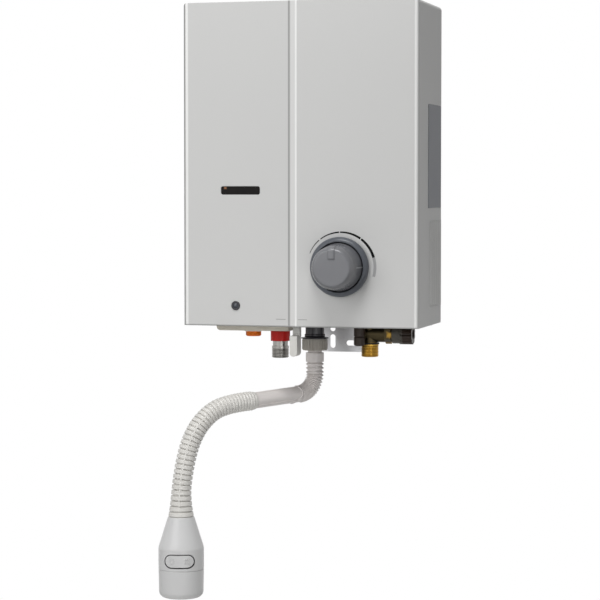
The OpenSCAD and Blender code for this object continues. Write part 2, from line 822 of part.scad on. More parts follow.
module burner_frame() {
    color("gray") {
        difference() {
            block(chamber_x0, chamber_x1, chamber_y0, chamber_y1, burner_z, chamber_z);
            block(chamber_x0 + wall_t, chamber_x1 - wall_t, chamber_y0 + wall_t, chamber_y1 - wall_t,
                  burner_z - 1, chamber_z + 1);
            for (i = [0 : blade_n - 1])
                rod_y([blade_x(i), manifold_z - 6], 3, chamber_y1 - 3, chamber_y1 + 1);
        }
        for (y = [blade_y0 + 8, blade_y1 - 16])
            block(chamber_x0 + 0.4, chamber_x1 - 0.4, y, y + 8, bar_z, blade_z);
    }
}

// A row of flat burners, each with a gas throat at the back and a row of ports on top
module burner_blades() {
    color("dimgray") {
        for (i = [0 : blade_n - 1]) difference() {
            x = blade_x(i);
            block(x - blade_t / 2, x + blade_t / 2, blade_y0, blade_y1, blade_z, blade_z + blade_h);
            rod_y([x, manifold_z - 6], 3, blade_y1 - 20, blade_y1 + 1);
            for (k = [0 : 7]) block(x - 2.5, x + 2.5, blade_y0 + 5 + k * 8.5, blade_y0 + 8 + k * 8.5,
                                    blade_z + blade_h - 4, blade_z + blade_h + 1);
        }
        for (y = [blade_y0 + 12, blade_y1 - 30])
            rod_x([y, blade_z + 5], 1.5, blade_x(0), blade_x(blade_n - 1));
    }
}

module burner_manifold() {
    x0 = chamber_x0 + 8;
    x1 = chamber_x1 - 8;
    color("burlywood") {
        difference() {
            union() {
                block(x0, x1, manifold_y, manifold_y + manifold_w, manifold_z - manifold_w, manifold_z);
                for (i = [0 : blade_n - 1])
                    rod_y([blade_x(i), manifold_z - 6], 2.2, chamber_y1 - 4, manifold_y + 1);
                for (x = [chamber_x - 70, chamber_x + 70])
                    block(x - 6, x + 6, manifold_y + manifold_w - 1, -plate_t,
                          manifold_z - 10, manifold_z - 2);
            }
            block(x0 + 2, x1 - 2, manifold_y + 2, manifold_y + manifold_w - 2,
                  manifold_z - manifold_w + 2, manifold_z - 2);
            rod_z([riser_x, riser_y], 4, manifold_z - manifold_w - 1, manifold_z - 6);
        }
    }
}

module gas_riser() {
    color("burlywood") difference() {
        union() {
            rod_z([riser_x, riser_y], 6, valve_z1, manifold_z - manifold_w);
            rod_z([riser_x, riser_y], 8, valve_z1, valve_z1 + 2.5);
        }
        rod_z([riser_x, riser_y], 4, valve_z1 - 1, manifold_z - manifold_w + 1);
    }
}

module electrode(x) {
    z = chamber_z + 6;
    rod_y([x, z], 3, chamber_y0 - 16, chamber_y0 + 8);
    rod_y([x, z], 0.9, chamber_y0 - 20, chamber_y0 + 20);
    block(x - 7, x + 7, chamber_y0 - 1.5, chamber_y0, z - 4, z + 6);
}

module igniter() {
    color("white") electrode(chamber_x - 30);
}

module flame_sensor() {
    color("whitesmoke") electrode(chamber_x + 30);
}

module control_box() {
    x0 = chamber_x1 + 44;
    x1 = half_w - 4;
    color("dimgray") {
        block(x0, x1, -62, -plate_t, knob_z + 98, knob_z + 218);
        for (i = [0 : 3]) block(x0 - 3, x0 + 0.1, -52 + i * 12, -44 + i * 12, knob_z + 104, knob_z + 112);
    }
}

module gas_valve_body() {
    xc = (valve_x0 + valve_x1) / 2;
    color("lightgray") difference() {
        union() {
            block(valve_x0, valve_x1, valve_y0, valve_y1, valve_z0, valve_z1);
            rod_y([xc, knob_z], 22, valve_y0 - 5, valve_y0 + 1);
            for (a = [45 : 90 : 315])
                rod_y([xc + 18 * cos(a), knob_z + 18 * sin(a)], 2.8, valve_y0 - 7, valve_y0);
            rod_z([riser_x, riser_y], 8, valve_z1 - 18, valve_z1);
            for (x = [valve_x0 + 10, valve_x1 - 10])
                block(x - 6, x + 6, valve_y1 - 1, -plate_t, knob_z - 12, knob_z);
        }
        rod_z([riser_x, riser_y], 4, valve_z1 - 14, valve_z1 + 1);
        rod_z([gas_x, gas_y], 7, valve_z0 - 1, valve_z0 + 30);
    }
}

module gas_solenoid() {
    at = [valve_y1 - 26, knob_z + 3];
    color("darkslategray") {
        rod_x(at, 13, valve_x0 - 32, valve_x0 - 4);
        rod_x(at, 9, valve_x0 - 4.1, valve_x0);
        rod_x(at, 5, valve_x0 - 37, valve_x0 - 31.9);
    }
}

// A turned thread: flat crests and V grooves, with a chamfer at its end; radius and height from the end
thread_pitch = 1.8;
function thread_profile(r, len) = concat(
    [[r - 1, 0], [r, 1]],
    [for (i = [0 : floor((len - 2.4) / thread_pitch) - 1], p = [[0, 0.7], [0.75, 1.2], [0, 1.7]])
        [r - p[0], 0.6 + i * thread_pitch + p[1]]]
);

module gas_inlet_pipe() {
    color("gray") translate([gas_x, gas_y, gas_end]) rotate_extrude() polygon(concat(
        [[7, 0]],
        thread_profile(thread_d / 2, gas_thread_len),
        [[thread_d / 2, gas_thread_len], [gas_neck_r, gas_thread_len], [gas_neck_r, valve_z0 - gas_end],
         [7, valve_z0 - gas_end]]
    ));
}

module gas_band() {
    color("firebrick") difference() {
        rod_z([gas_x, gas_y], 12, band_z0, band_z1);
        rod_z([gas_x, gas_y], gas_neck_r, band_z0 - 1, band_z1 + 1);
    }
}

// Water governor: body, diaphragm, cover and screws, stacked along the knob's axis
module gov_bolt_holes(r) {
    for (i = [0 : gov_bolts - 1])
        rod_y([gov_bolt_r * cos(30 + i * 60), gov_bolt_r * sin(30 + i * 60)], r, gov_y0 - 5, gov_y1 - 5);
}

module governor_body() {
    color("burlywood") difference() {
        union() {
            on_knob_axis() rod_y([0, 0], gov_r, diaphragm_y + diaphragm_t, gov_y1);
            rod_z([water_x, water_y], gov_boss_r, boss_z, knob_z - 8);
            rod_x([-61, knob_z], 9, valve_x1, knob_x);
        }
        on_knob_axis() rod_y([0, 0], gov_cavity, diaphragm_y - 1, gov_y1 - 8);
        on_knob_axis() gov_bolt_holes(1.6);
        rod_z([water_x, water_y], 7, boss_z - 1, knob_z - 8);
    }
}

module governor_diaphragm() {
    color("black") on_knob_axis() difference() {
        rod_y([0, 0], gov_r - 0.5, diaphragm_y, diaphragm_y + diaphragm_t);
        gov_bolt_holes(1.6);
    }
}

module governor_cover() {
    port_x = knob_x + gov_r + 4;
    color("burlywood") difference() {
        union() {
            on_knob_axis() rod_y([0, 0], gov_r, gov_y0, diaphragm_y);
            on_knob_axis() rod_y([0, 0], gov_neck_r, gov_neck_y, gov_y0 + 1);
            rod_x([cold_y, knob_z], tube_r + 1.8, knob_x + 15, port_x);
        }
        on_knob_axis() rod_y([0, 0], gov_cavity, gov_y0 + 5, diaphragm_y + 1);
        on_knob_axis() rod_y([0, 0], spindle_r + run_gap, gov_neck_y - 1, gov_y0 + 6);
        on_knob_axis() gov_bolt_holes(1.6);
        rod_x([cold_y, knob_z], tube_r, port_x - 7, port_x + 1);
        rod_x([cold_y, knob_z], tube_r - tube_t, knob_x, port_x);
    }
}

module governor_screws() {
    color("silver") on_knob_axis() for (i = [0 : gov_bolts - 1]) {
        at = [gov_bolt_r * cos(30 + i * 60), gov_bolt_r * sin(30 + i * 60)];
        rod_y(at, 1.6, gov_y0 - 1, gov_y1 - 6);
        rod_y(at, 3, gov_y0 - 2.5, gov_y0);
    }
}

// Push spindle with a collar that rides on the return spring
module push_spindle() {
    color("silver") on_knob_axis() {
        rod_y([0, 0], spindle_r, spindle_out, spindle_in);
        rod_y([0, 0], spindle_r + 4, collar_y - collar_t, collar_y);
    }
}

coil_turns = 6;
coil_steps = 14;
coil_sides = 6;
coil_r = spindle_r + 2.4;
coil_wire = 0.7;
function coil_point(i, j) = let (
    n = coil_turns * coil_steps, t = 360 * i / coil_steps, s = 360 * j / coil_sides,
    y = gov_neck_y - coil_wire - (gov_neck_y - collar_y - 2 * coil_wire) * i / n,
    r = coil_r + coil_wire * cos(s)
) [r * cos(t), y + coil_wire * sin(s), r * sin(t)];
function coil_faces(rings, sides) = concat(
    [for (i = [0 : rings - 2], j = [0 : sides - 1]) let (a = i * sides, k = (j + 1) % sides)
        each [[a + j, a + sides + k, a + k], [a + j, a + sides + j, a + sides + k]]],
    [[for (j = [0 : sides - 1]) j]],
    [[for (j = [sides - 1 : -1 : 0]) (rings - 1) * sides + j]]
);

module spindle_spring() {
    rings = coil_turns * coil_steps + 1;
    color("lightgray") on_knob_axis() polyhedron(
        [for (i = [0 : rings - 1], j = [0 : coil_sides - 1]) coil_point(i, j)],
        coil_faces(rings, coil_sides)
    );
}

// Knob: a waisted cap with a hub, a pointer notch at the top and a tick on its skirt
module knob() {
    r = knob_d / 2;
    f = face_d / 2;
    h = knob_reach;
    color("gray") on_knob_axis() translate([0, front_y, 0]) difference() {
        union() {
            lathe_y([
                [0, 5], [spindle_r + 4, 5], [spindle_r + 4, h - 3], [f - 2, h - 3], [r - 6.2, h - 10],
                [r - 5.2, 25], [r - 2.2, 12], [r - 2, 3], [r, 3], [r - 0.2, 11], [r - 0.9, 15],
                [r - 1.5, 19.5], [r - 1.9, 24], [r - 2.5, 31], [r - 3.1, h - 8], [f + 2.5, h - 5],
                [f + 1.4, h - 2.2], [f + 0.4, h - 0.8], [f - 0.8, h], [0, h]
            ]);
            translate([0, 0, -0.6]) linear_extrude(1.2)
                polygon([[r - 3.4, -11], [r + 0.1, -11], [r - 1.6, -29], [r - 3.4, -29]]);
            intersection() {
                block(-3.75, 3.75, -h - 2, 12 - h, f * 0.48, r + 3);
                lathe_y([
                    [0, h - 14], [r - 2.4, h - 14], [r - 2.4, h - 8], [f + 3.1, h - 4.6], [f + 2, h - 1.4],
                    [f + 0.8, h], [f - 0.6, h + 0.8], [0, h + 0.8]
                ]);
            }
        }
        rod_y([0, 0], spindle_r + run_gap, spindle_out - front_y - move_gap, 0);
    }
}

// Water inlet: a threaded stub, the filter's tee and a seat for the relief plug
module water_inlet_body() {
    z0 = water_end;
    neck = thread_d / 2 - 1.1;
    color("goldenrod") difference() {
        union() {
            translate([water_x, water_y, z0]) rotate_extrude() polygon(concat(
                [[0, 0]],
                thread_profile(thread_d / 2, water_thread_len),
                [[thread_d / 2, water_thread_len], [neck, water_thread_len],
                 [neck, boss_z - z0], [0, boss_z - z0]]
            ));
            rod_x([water_y, filter_z], tee_r, tee_x0, tee_x1);
            translate([tee_x1 - 8.7, water_y, filter_z]) rotate([0, 90, 0])
                cylinder(r = 12.2, h = 7.4, $fn = 6);
            rod_y([relief_x, filter_z], 6.5, relief_y + relief_r + seat_gap, water_y);
        }
        rod_z([water_x, water_y], 7, z0 - 1, boss_z + 1);
        rod_x([water_y, filter_z], strainer_r + 0.5, tee_x0 + 4, tee_x1);
        rod_x([water_y, filter_z], 8 + run_gap, tee_x1 - 9.5, tee_x1 + 1);
        rod_y([relief_x, filter_z], 4, relief_y, relief_y + relief_r + 4);
        rod_y([relief_x, filter_z], 2, relief_y, water_y);
    }
}

module inlet_ring() {
    z = water_end + water_thread_len;
    color("black") difference() {
        rod_z([water_x, water_y], 11.3, z, z + ring_h);
        rod_z([water_x, water_y], thread_d / 2 - 1.1, z - 1, z + ring_h + 1);
    }
}

module filter_strainer() {
    color("lightgray") difference() {
        rod_x([water_y, filter_z], strainer_r, tee_x0 + 10, tee_x1 - 8);
        rod_x([water_y, filter_z], strainer_r - 0.8, tee_x0 + 11, tee_x1 - 7);
        for (i = [0 : 3]) rod_y([tee_x0 + 15 + i * 5, filter_z], 1.6, water_y - 10, water_y + 10);
        for (i = [0 : 3]) rod_z([tee_x0 + 15 + i * 5, water_y], 1.6, filter_z - 10, filter_z + 10);
    }
}

module filter_cap() {
    x0 = tee_x1 + 0.3;
    x1 = x0 + cap_len;
    color("darkslategray") difference() {
        union() {
            rod_x([water_y, filter_z], 8, tee_x1 - 8, x0 + 1);
            rod_x([water_y, filter_z], 11.6, x0, x0 + 8.7);
            rod_x([water_y, filter_z], cap_r, x0 + 8.6, x1);
        }
        for (i = [0 : 9]) translate([0, water_y, filter_z]) rotate([36 * i, 0, 0])
            rod_x([cap_r + 0.6, 0], 2, x0 + 10.5, x1 + 1);
        rod_x([water_y, filter_z], 6, x1 - 6, x1 + 1);
        rod_x([water_y, filter_z], strainer_r - 0.8, tee_x1 - 9, tee_x1 - 4);
    }
}

module relief_plug() {
    color("saddlebrown") {
        translate([relief_x, relief_y, filter_z]) rotate_extrude() polygon([
            [0, -14], [relief_r - 1.4, -14], [relief_r, -12.6], [relief_r, -4], [relief_r - 0.8, -3.4],
            [relief_r - 0.8, -2.6], [relief_r, -2], [relief_r, 15], [relief_r - 2, 19.5], [0, 19.5]
        ]);
        rod_y([relief_x, filter_z], 4, relief_y, relief_y + relief_r + 4);
    }
}

// Water pipes
function stretch(pts, e) = let (n = len(pts)) [
    for (i = [0 : n - 1])
        i == 0 ? pts[0] - e * unit(pts[1] - pts[0]) :
        i == n - 1 ? pts[n - 1] + e * unit(pts[n - 1] - pts[n - 2]) : pts[i]
];

module open_pipe(pts, r, wall, bend) {
    difference() {
        pipe_solid(pts, r, bend);
        pipe_solid(stretch(pts, 1), r - wall, bend);
    }
}

module cold_pipe() {
    x = tube_end_x + 22;
    color("chocolate") open_pipe([
        [tube_end_x, cold_y, tube_z], [x, cold_y, tube_z], [x, cold_y, knob_z],
        [knob_x + gov_r - 3, cold_y, knob_z]
    ], tube_r, tube_t, 14);
}

module hot_pipe() {
    x = tube_end_x + 15;
    color("chocolate") open_pipe([
        [tube_end_x, hot_y, tube_z], [x, hot_y, tube_z], [x, hot_y, hot_z], [outlet_x, hot_y, hot_z],
        [outlet_x, outlet_y + spigot_r - 2, hot_z]
    ], tube_r, tube_t, 14);
}

module drain_pipe() {
    plug_z = bottom_z - 4;
    color("chocolate") {
        open_pipe([
            [drain_pipe_x, drain_y, drain_top], [drain_pipe_x, drain_y, drain_z],
            [drain_x, drain_y, drain_z], [drain_x, drain_y, drain_z - 10]
        ], 3, 1.2, 8);
        difference() {
            rod_z([drain_x, drain_y], 8, plug_z, drain_z - 8);
            rod_z([drain_x, drain_y], 5, plug_z - 1, drain_z - 11);
            rod_z([drain_x, drain_y], 2.5, plug_z, drain_z);
        }
    }
}

module drain_plug() {
    plug_z = bottom_z - 4;
    r = drain_d / 2;
    color("darkorange") difference() {
        union() {
            rod_z([drain_x, drain_y], 5 - run_gap, plug_z - 3, drain_z - 12);
            translate([drain_x, drain_y, plug_z - 13.5]) rotate_extrude()
                polygon([[0, 0], [r - 1.2, 0], [r, 1.2], [r, 11], [r - 0.6, 11.6], [0, 11.6]]);
        }
        for (i = [0 : 15]) translate([drain_x, drain_y, 0]) rotate([0, 0, i * 22.5])
            rod_z([r + 0.5, 0], 1.2, plug_z - 14, plug_z - 4);
        block(drain_x - 7, drain_x + 7, drain_y - 1.2, drain_y + 1.2, plug_z - 14, plug_z - 10.5);
    }
}

// Outlet: spigot, nut, gasket and the spout's captive tail
nose_z = flange_z - 7.5;
nose_r = spigot_r - 0.5;

module outlet_spigot() {
    back_y = outlet_y + spigot_r + 6;
    color("dimgray") difference() {
        union() {
            rod_z([outlet_x, outlet_y], spigot_r, flange_z, hot_z + tube_r + 4.5);
            rod_z([outlet_x, outlet_y], spigot_r + 5.2, flange_z, flange_z + flange_t);
            rod_z([outlet_x, outlet_y], nose_r, nose_z, flange_z + 0.1);
            rod_y([outlet_x, hot_z], tube_r + 2.5, outlet_y, back_y);
        }
        rod_z([outlet_x, outlet_y], 6, nose_z - 1, hot_z + 5);
        rod_y([outlet_x, hot_z], tube_r - tube_t, outlet_y, back_y);
        rod_y([outlet_x, hot_z], tube_r, outlet_y + spigot_r - 2, back_y + 1);
    }
}

module union_nut() {
    ribs = 24;
    r = nut_d / 2;
    color("gray") difference() {
        union() {
            rod_z([outlet_x, outlet_y], r - 0.9, nut_z0, nut_z1);
            for (i = [0 : ribs - 1]) translate([outlet_x, outlet_y, 0]) rotate([0, 0, i * 360 / ribs])
                block(r - 2, r, -0.9, 0.9, nut_z0 + 1, nut_z1 - 1.2);
        }
        rod_z([outlet_x, outlet_y], nose_r, nut_z0 + nut_lip, nut_z1 + 1);
        rod_z([outlet_x, outlet_y], neck_r + run_gap, nut_z0 - 1, nut_z1);
    }
}

module outlet_gasket() {
    color("black") difference() {
        rod_z([outlet_x, outlet_y], nose_r, nose_z - gasket_t, nose_z);
        rod_z([outlet_x, outlet_y], 6, nose_z - gasket_t - 1, nose_z + 1);
    }
}

module spout_tail() {
    f1 = nose_z - gasket_t - run_gap;
    f0 = nut_z0 + nut_lip + run_gap;
    color("gray") difference() {
        union() {
            rod_z([outlet_x, outlet_y], tail_flange_r, f0, f1);
            rod_z([outlet_x, outlet_y], neck_r, collar_z1 - 1, f0 + 1);
            rod_z([outlet_x, outlet_y], elbow_r + 0.3, collar_z0, collar_z1);
        }
        rod_z([outlet_x, outlet_y], min(spout_bore, neck_r - 1.2), collar_z0 - 1, f1 + 1);
    }
}

// The ribbed elbow: wide folds on the straight part, then fine folds round the bend
elbow_sides = 16;
elbow_root = elbow_r - 1.6;
fine_root = elbow_r - 0.7;
function elbow_rings() = concat(
    [for (i = [0 : 2 * elbow_folds]) let (z = collar_z0 - elbow_straight * i / (2 * elbow_folds))
        [[0, z], -90, i % 2 == 0 ? elbow_root : elbow_r]],
    [for (i = [1 : 2 * bend_folds]) let (t = elbow_turn * i / (2 * bend_folds))
        [[elbow_bend * (1 - cos(t)), elbow_z - elbow_bend * sin(t)], t - 90,
         i % 2 == 0 ? fine_root : elbow_r - 0.1]]
);

module spout_elbow() {
    rings = elbow_rings();
    color("gray") in_spout_plane() ribbed_tube(
        [for (g = rings) g[0]],
        [for (g = rings) g[1]],
        [for (g = rings) g[2]],
        spout_bore, elbow_sides
    );
}

module spout_tube() {
    run = hose_start - elbow_end;
    stop = hose_start - seat_gap * run / norm(run);
    a = [elbow_end[0], 0, elbow_end[1]];
    b = [stop[0], 0, stop[1]];
    color("gray") in_spout_plane() open_pipe([a, b], spout_r, spout_r - spout_bore, 10);
}

// The ribbed hose: a crest and a root to each rib, flaring where it meets the shower head
function hose_radius(i) = let (
    n = 2 * hose_ribs, f = max(0, (i - n + 2 * hose_flare_ribs) / (2 * hose_flare_ribs))
) hose_r - (i % 2 == 0 ? hose_fold : 0) + hose_flare * f * f * (3 - 2 * f);

module spout_hose() {
    n = 2 * hose_ribs;
    last = len(hose_route) - 1;
    color("lightgray") in_spout_plane() ribbed_tube(
        [for (i = [0 : n]) route_point(hose_route, last * i / n)],
        [for (i = [0 : n]) route_angle(hose_route, last * i / n)],
        [for (i = [0 : n]) hose_radius(i)],
        spout_bore, hose_sides
    );
}

// Shower head
seam_z = head_z1 - 61.7;
foot_r = head_r - 0.6;

module stadium(w, h) {
    square([w - h, h], center = true);
    for (s = [-1, 1]) translate([s * (w - h) / 2, 0]) circle(h / 2);
}

module rocker_prism(grow, y0, y1) {
    translate([0, y1, rocker_z]) rotate([90, 0, 0]) linear_extrude(y1 - y0)
        stadium(rocker_w + 2 * grow, rocker_h + 2 * grow);
}

module head_shell() {
    lug = rocker_h / 2 + 1.7;
    color("gainsboro") on_head_axis() {
        difference() {
            rotate_extrude() polygon(concat(
                [[0, head_z1], [head_neck_r - 0.8, head_z1], [head_neck_r, head_z1 - 0.8],
                 [head_r - 0.5, head_cone_z + 1.6], [head_r, head_cone_z - 0.6],
                 [head_r, seam_z + 0.5], [head_r - 0.6, seam_z + 0.3], [head_r - 0.6, seam_z - 0.3],
                 [head_r - 0.1, seam_z - 0.5]],
                [for (a = [0 : 10 : 90]) [foot_r, head_z0 + head_round]
                    + head_round * [cos(a) - 1, -sin(a)]],
                [[0, head_z0]]
            ));
            rotate_extrude() polygon([
                [0, head_z1 - 5], [head_neck_r - 4, head_z1 - 5],
                [head_r - head_wall - 0.5, head_cone_z - 1], [foot_r - head_wall, head_z0 + 9],
                [spray_r, head_z0 + 5], [0, head_z0 + 5]
            ]);
            rod_z([0, 0], spray_r, head_z0 - 1, head_z0 + 6);
            rod_z([0, 0], spout_bore, head_z1 - 6, head_z1 + 1);
            rocker_prism(1, -head_r - 5, -12);
        }
        for (s = [-1, 1]) difference() {
            block(-4, 4, -(head_r - 1.5), rocker_pin_y + 3.5,
                  rocker_z + (s > 0 ? lug : -lug - 3.5), rocker_z + (s > 0 ? lug + 3.5 : -lug));
            rod_z([0, rocker_pin_y], rocker_pin_r, rocker_z - 20, rocker_z + 20);
        }
    }
}

module spray_plate() {
    color("dimgray") on_head_axis() difference() {
        rod_z([0, 0], spray_r, spray_z, spray_z + spray_t);
        for (row = [[0, 1], [7, 6], [13, 12], [18, 18]], i = [0 : row[1] - 1])
            rotate([0, 0, 360 * i / row[1]]) rod_z([row[0], 0], 0.8, spray_z - 1, spray_z + spray_t + 1);
    }
}

module rocker_pin() {
    lug = rocker_h / 2 + 5.2;
    color("silver") on_head_axis() rod_z([0, rocker_pin_y], rocker_pin_r, rocker_z - lug, rocker_z + lug);
}

module head_rocker() {
    h = rocker_h / 2;
    color("gray") on_head_axis() difference() {
        union() {
            intersection() {
                rocker_prism(0, -head_r - 5, -8);
                difference() {
                    rod_z([0, 0], head_r + 0.5, rocker_z - h - 1, rocker_z + h + 1);
                    rod_z([0, 0], head_r - 3.4, rocker_z - h - 2, rocker_z + h + 2);
                }
            }
            rod_z([0, rocker_pin_y], 3.2, rocker_z - h, rocker_z + h);
            block(-2, 2, -(head_r - 2), rocker_pin_y, rocker_z - h + 1, rocker_z + h - 1);
            intersection() {
                rod_z([0, 0], head_r + 0.9, rocker_z - h, rocker_z + h);
                union() {
                    difference() {
                        rod_y([-9, rocker_z], 3, -head_r - 5, -head_r + 3);
                        rod_y([-9, rocker_z], 2.2, -head_r - 6, -head_r + 4);
                    }
                    for (dx = [7, 9.2, 11.4], dz = [-2, 2])
                        rod_y([dx, rocker_z + dz], 0.7, -head_r - 5, -head_r + 4);
                }
            }
        }
        rod_z([0, rocker_pin_y], rocker_pin_r + run_gap, rocker_z - h - 1, rocker_z + h + 1);
    }
}

// Capacity lever, sliding along a slot in its bracket
bracket_front = max(lever_stem_y - 9, front_y + ridge_step + sheet_t + 1);
bracket_back = -(lid_front + 2.3);

module lever_bracket() {
    s = (lever_w - 0.4) / 2 + move_gap;
    d = lever_stem_d / 2 + move_gap;
    color("silver") difference() {
        union() {
            block(lever_x - 6, valve_x1 - 4, bracket_back - 1, valve_y0, bracket_z, bracket_z + bracket_t);
            block(lever_x - 6, valve_x1 - 4, valve_y0 - 1.5, valve_y0, bracket_z, bracket_z + 12);
            block(lever_x - lever_travel - 11, lever_x + 15, bracket_front, bracket_back,
                  bracket_z, bracket_z + bracket_t);
        }
        block(lever_x - lever_travel - s, lever_x + s, lever_stem_y - d, lever_stem_y + d,
              bracket_z - 1, bracket_z + bracket_t + 1);
    }
}

module capacity_lever() {
    w = lever_w / 2 - 0.2;
    d = lever_stem_d / 2;
    z1 = bracket_z + bracket_t + move_gap;
    z0 = bottom_z - lever_drop;
    y0 = lever_stem_y - 18;
    color("gray") translate([lever_x, 0, 0]) {
        block(-lever_head[0] / 2, lever_head[0] / 2, lever_stem_y - lever_head[1] / 2,
              lever_stem_y + lever_head[1] / 2, z1, z1 + lever_head[2]);
        block(-w - 2.5, w + 2.5, lever_stem_y - d - 1.5, lever_stem_y + d + 1, bracket_z - move_gap - 3,
              bracket_z - move_gap);
        block(-w, w, lever_stem_y - d, lever_stem_y + d, z0 + paddle_h - 2, z1 + 1);
        block(-lever_w / 2, lever_w / 2, y0, y0 + paddle_d, z0 + lever_w / 2, z0 + paddle_h);
        rod_y([0, z0 + lever_w / 2], lever_w / 2, y0, y0 + paddle_d);
    }
}

// Battery box
box_x0 = lid_x - move_gap - ear_t;
box_x1 = lid_x1 + move_gap + ear_t;
box_y0 = lid_y0 - 1.5;
box_y1 = lid_y1 + 1.5;
box_z1 = box_z0 + box_h;
nub_len = 3;
spring_len = 3;
cell_x0 = cell_xc - (cell_len + nub_len) / 2;
cell_x1 = cell_x0 + cell_len;
part_x0 = cell_x0 - spring_len - 0.6;
part_x1 = cell_x1 + nub_len + 0.6;

module battery_housing() {
    color("wheat") difference() {
        union() {
            difference() {
                block(box_x0, box_x1, box_y0, box_y1, box_z0, box_z1);
                block(box_x0 + box_wall, box_x1 - box_wall, box_y0 + box_wall, box_y1 - box_wall,
                      box_z0 - 1, box_z1 - box_wall);
            }
            block(part_x0 - 2, part_x0, box_y0 + 1, box_y1 - 1, box_z0 + 6, box_z1 - 1);
            block(part_x1, part_x1 + 2, box_y0 + 1, box_y1 - 1, box_z0 + 6, box_z1 - 1);
            for (x = [cell_xc - 18, cell_xc + 14])
                block(x, x + 3, box_y0 + 1, box_y1 - 1, cell_z, box_z1 - 1);
            block(gas_x - 8, gas_x + 20, box_y1 - 1, valve_y0, valve_z0 + 1, box_z1 - 1);
            for (x = [box_x0, box_x1 - ear_t])
                block(x, x + ear_t, hinge_y - 5, hinge_y + 4, hinge_z - 4, box_z0 + 1);
        }
        rod_x([cell_y, cell_z], cell_r, cell_x0, cell_x1);
        rod_x([hinge_y, hinge_z], hinge_pin_r, box_x0 - 1, box_x1 + 1);
    }
}

module battery_cell() {
    color("steelblue") {
        rod_x([cell_y, cell_z], cell_r, cell_x0, cell_x1);
        rod_x([cell_y, cell_z], 4.75, cell_x1 - 0.1, cell_x1 + nub_len);
    }
}

module battery_contacts() {
    color("silver") {
        block(part_x1 - 0.6, part_x1, cell_y - 8, cell_y + 8, cell_z - 8, cell_z + 8);
        block(part_x0, part_x0 + 0.6, cell_y - 8, cell_y + 8, cell_z - 8, cell_z + 8);
        translate([part_x0 + 0.5, cell_y, cell_z]) rotate([0, 90, 0]) rotate_extrude()
            polygon([[6.2, 0], [7.2, 0], [3.6, spring_len + 0.1], [2.6, spring_len + 0.1]]);
    }
}

module lid_pin() {
    color("silver") rod_x([hinge_y, hinge_z], hinge_pin_r, box_x0, box_x1);
}

module lid_shape() {
    r = 5;
    translate([lid_x + r, lid_z0]) square([lid_w - r, lid_h]);
    translate([lid_x, lid_z0 + r]) square([lid_w, lid_h - r]);
    intersection() {
        translate([lid_x + r, lid_z0 + r]) circle(r);
        translate([lid_x, lid_z0]) square([r, r]);
    }
}

module battery_lid() {
    color("wheat") difference() {
        union() {
            difference() {
                translate([0, lid_y1, 0]) rotate([90, 0, 0]) linear_extrude(lid_d) lid_shape();
                block(lid_x + 4, lid_x1 - lid_wall, lid_y0 + lid_wall, lid_y1 - lid_wall,
                      lid_z0 + lid_wall, lid_z0 + lid_h + 1);
            }
            rod_x([hinge_y, hinge_z], hinge_r, lid_x, lid_x1);
            block(cell_xc - 10, cell_xc + 10, lid_y0 + 2.5, lid_y0 + 4, lid_z0 + 1, box_z0 + 2);
            block(cell_xc - 10, cell_xc + 10, lid_y0 + 1.5, lid_y0 + 3, lid_z0 - 0.8, lid_z0 + 1);
        }
        rod_x([hinge_y, hinge_z], hinge_pin_r + run_gap, lid_x - 1, lid_x1 + 1);
    }
}

back_plate();
front_cover();
exhaust_grille();
cover_screws();
window_pane();
knob_bezel();
lamp_bezel();
lamp_lens();
exhaust_hood();
exchanger_fins();
exchanger_tubes();
combustion_chamber();
chamber_brackets();
burner_frame();
burner_blades();
burner_manifold();
gas_riser();
igniter();
flame_sensor();
control_box();
gas_valve_body();
gas_solenoid();
gas_inlet_pipe();
gas_band();
governor_body();
governor_diaphragm();
governor_cover();
governor_screws();
water_inlet_body();
inlet_ring();
filter_strainer();
filter_cap();
relief_plug();
cold_pipe();
hot_pipe();
drain_pipe();
drain_plug();
outlet_spigot();
union_nut();
outlet_gasket();
push_spindle();
spindle_spring();
knob();
lever_bracket();
capacity_lever();
battery_housing();
battery_lid();
lid_pin();
battery_cell();
battery_contacts();
spout_tail();
spout_elbow();
spout_tube();
spout_hose();
head_shell();
spray_plate();
head_rocker();
rocker_pin();
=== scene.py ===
# %% [markdown]
# # A wall-hung gas water heater
# The heater hangs on a kitchen wall: a folded steel cover over a wall plate, a knob to light the burner,
# threaded stubs for gas and water underneath, and a spout with a ribbed hose and a shower head.
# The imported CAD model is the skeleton. Everything here is in metres, in the same frame: the wall is
# the plane y = 0, the front faces -Y, and the origin is midway between the two upper screw holes.

# %% Load the frame
import bisect
import math

import bmesh
import bpy
from mathutils import Matrix, Vector


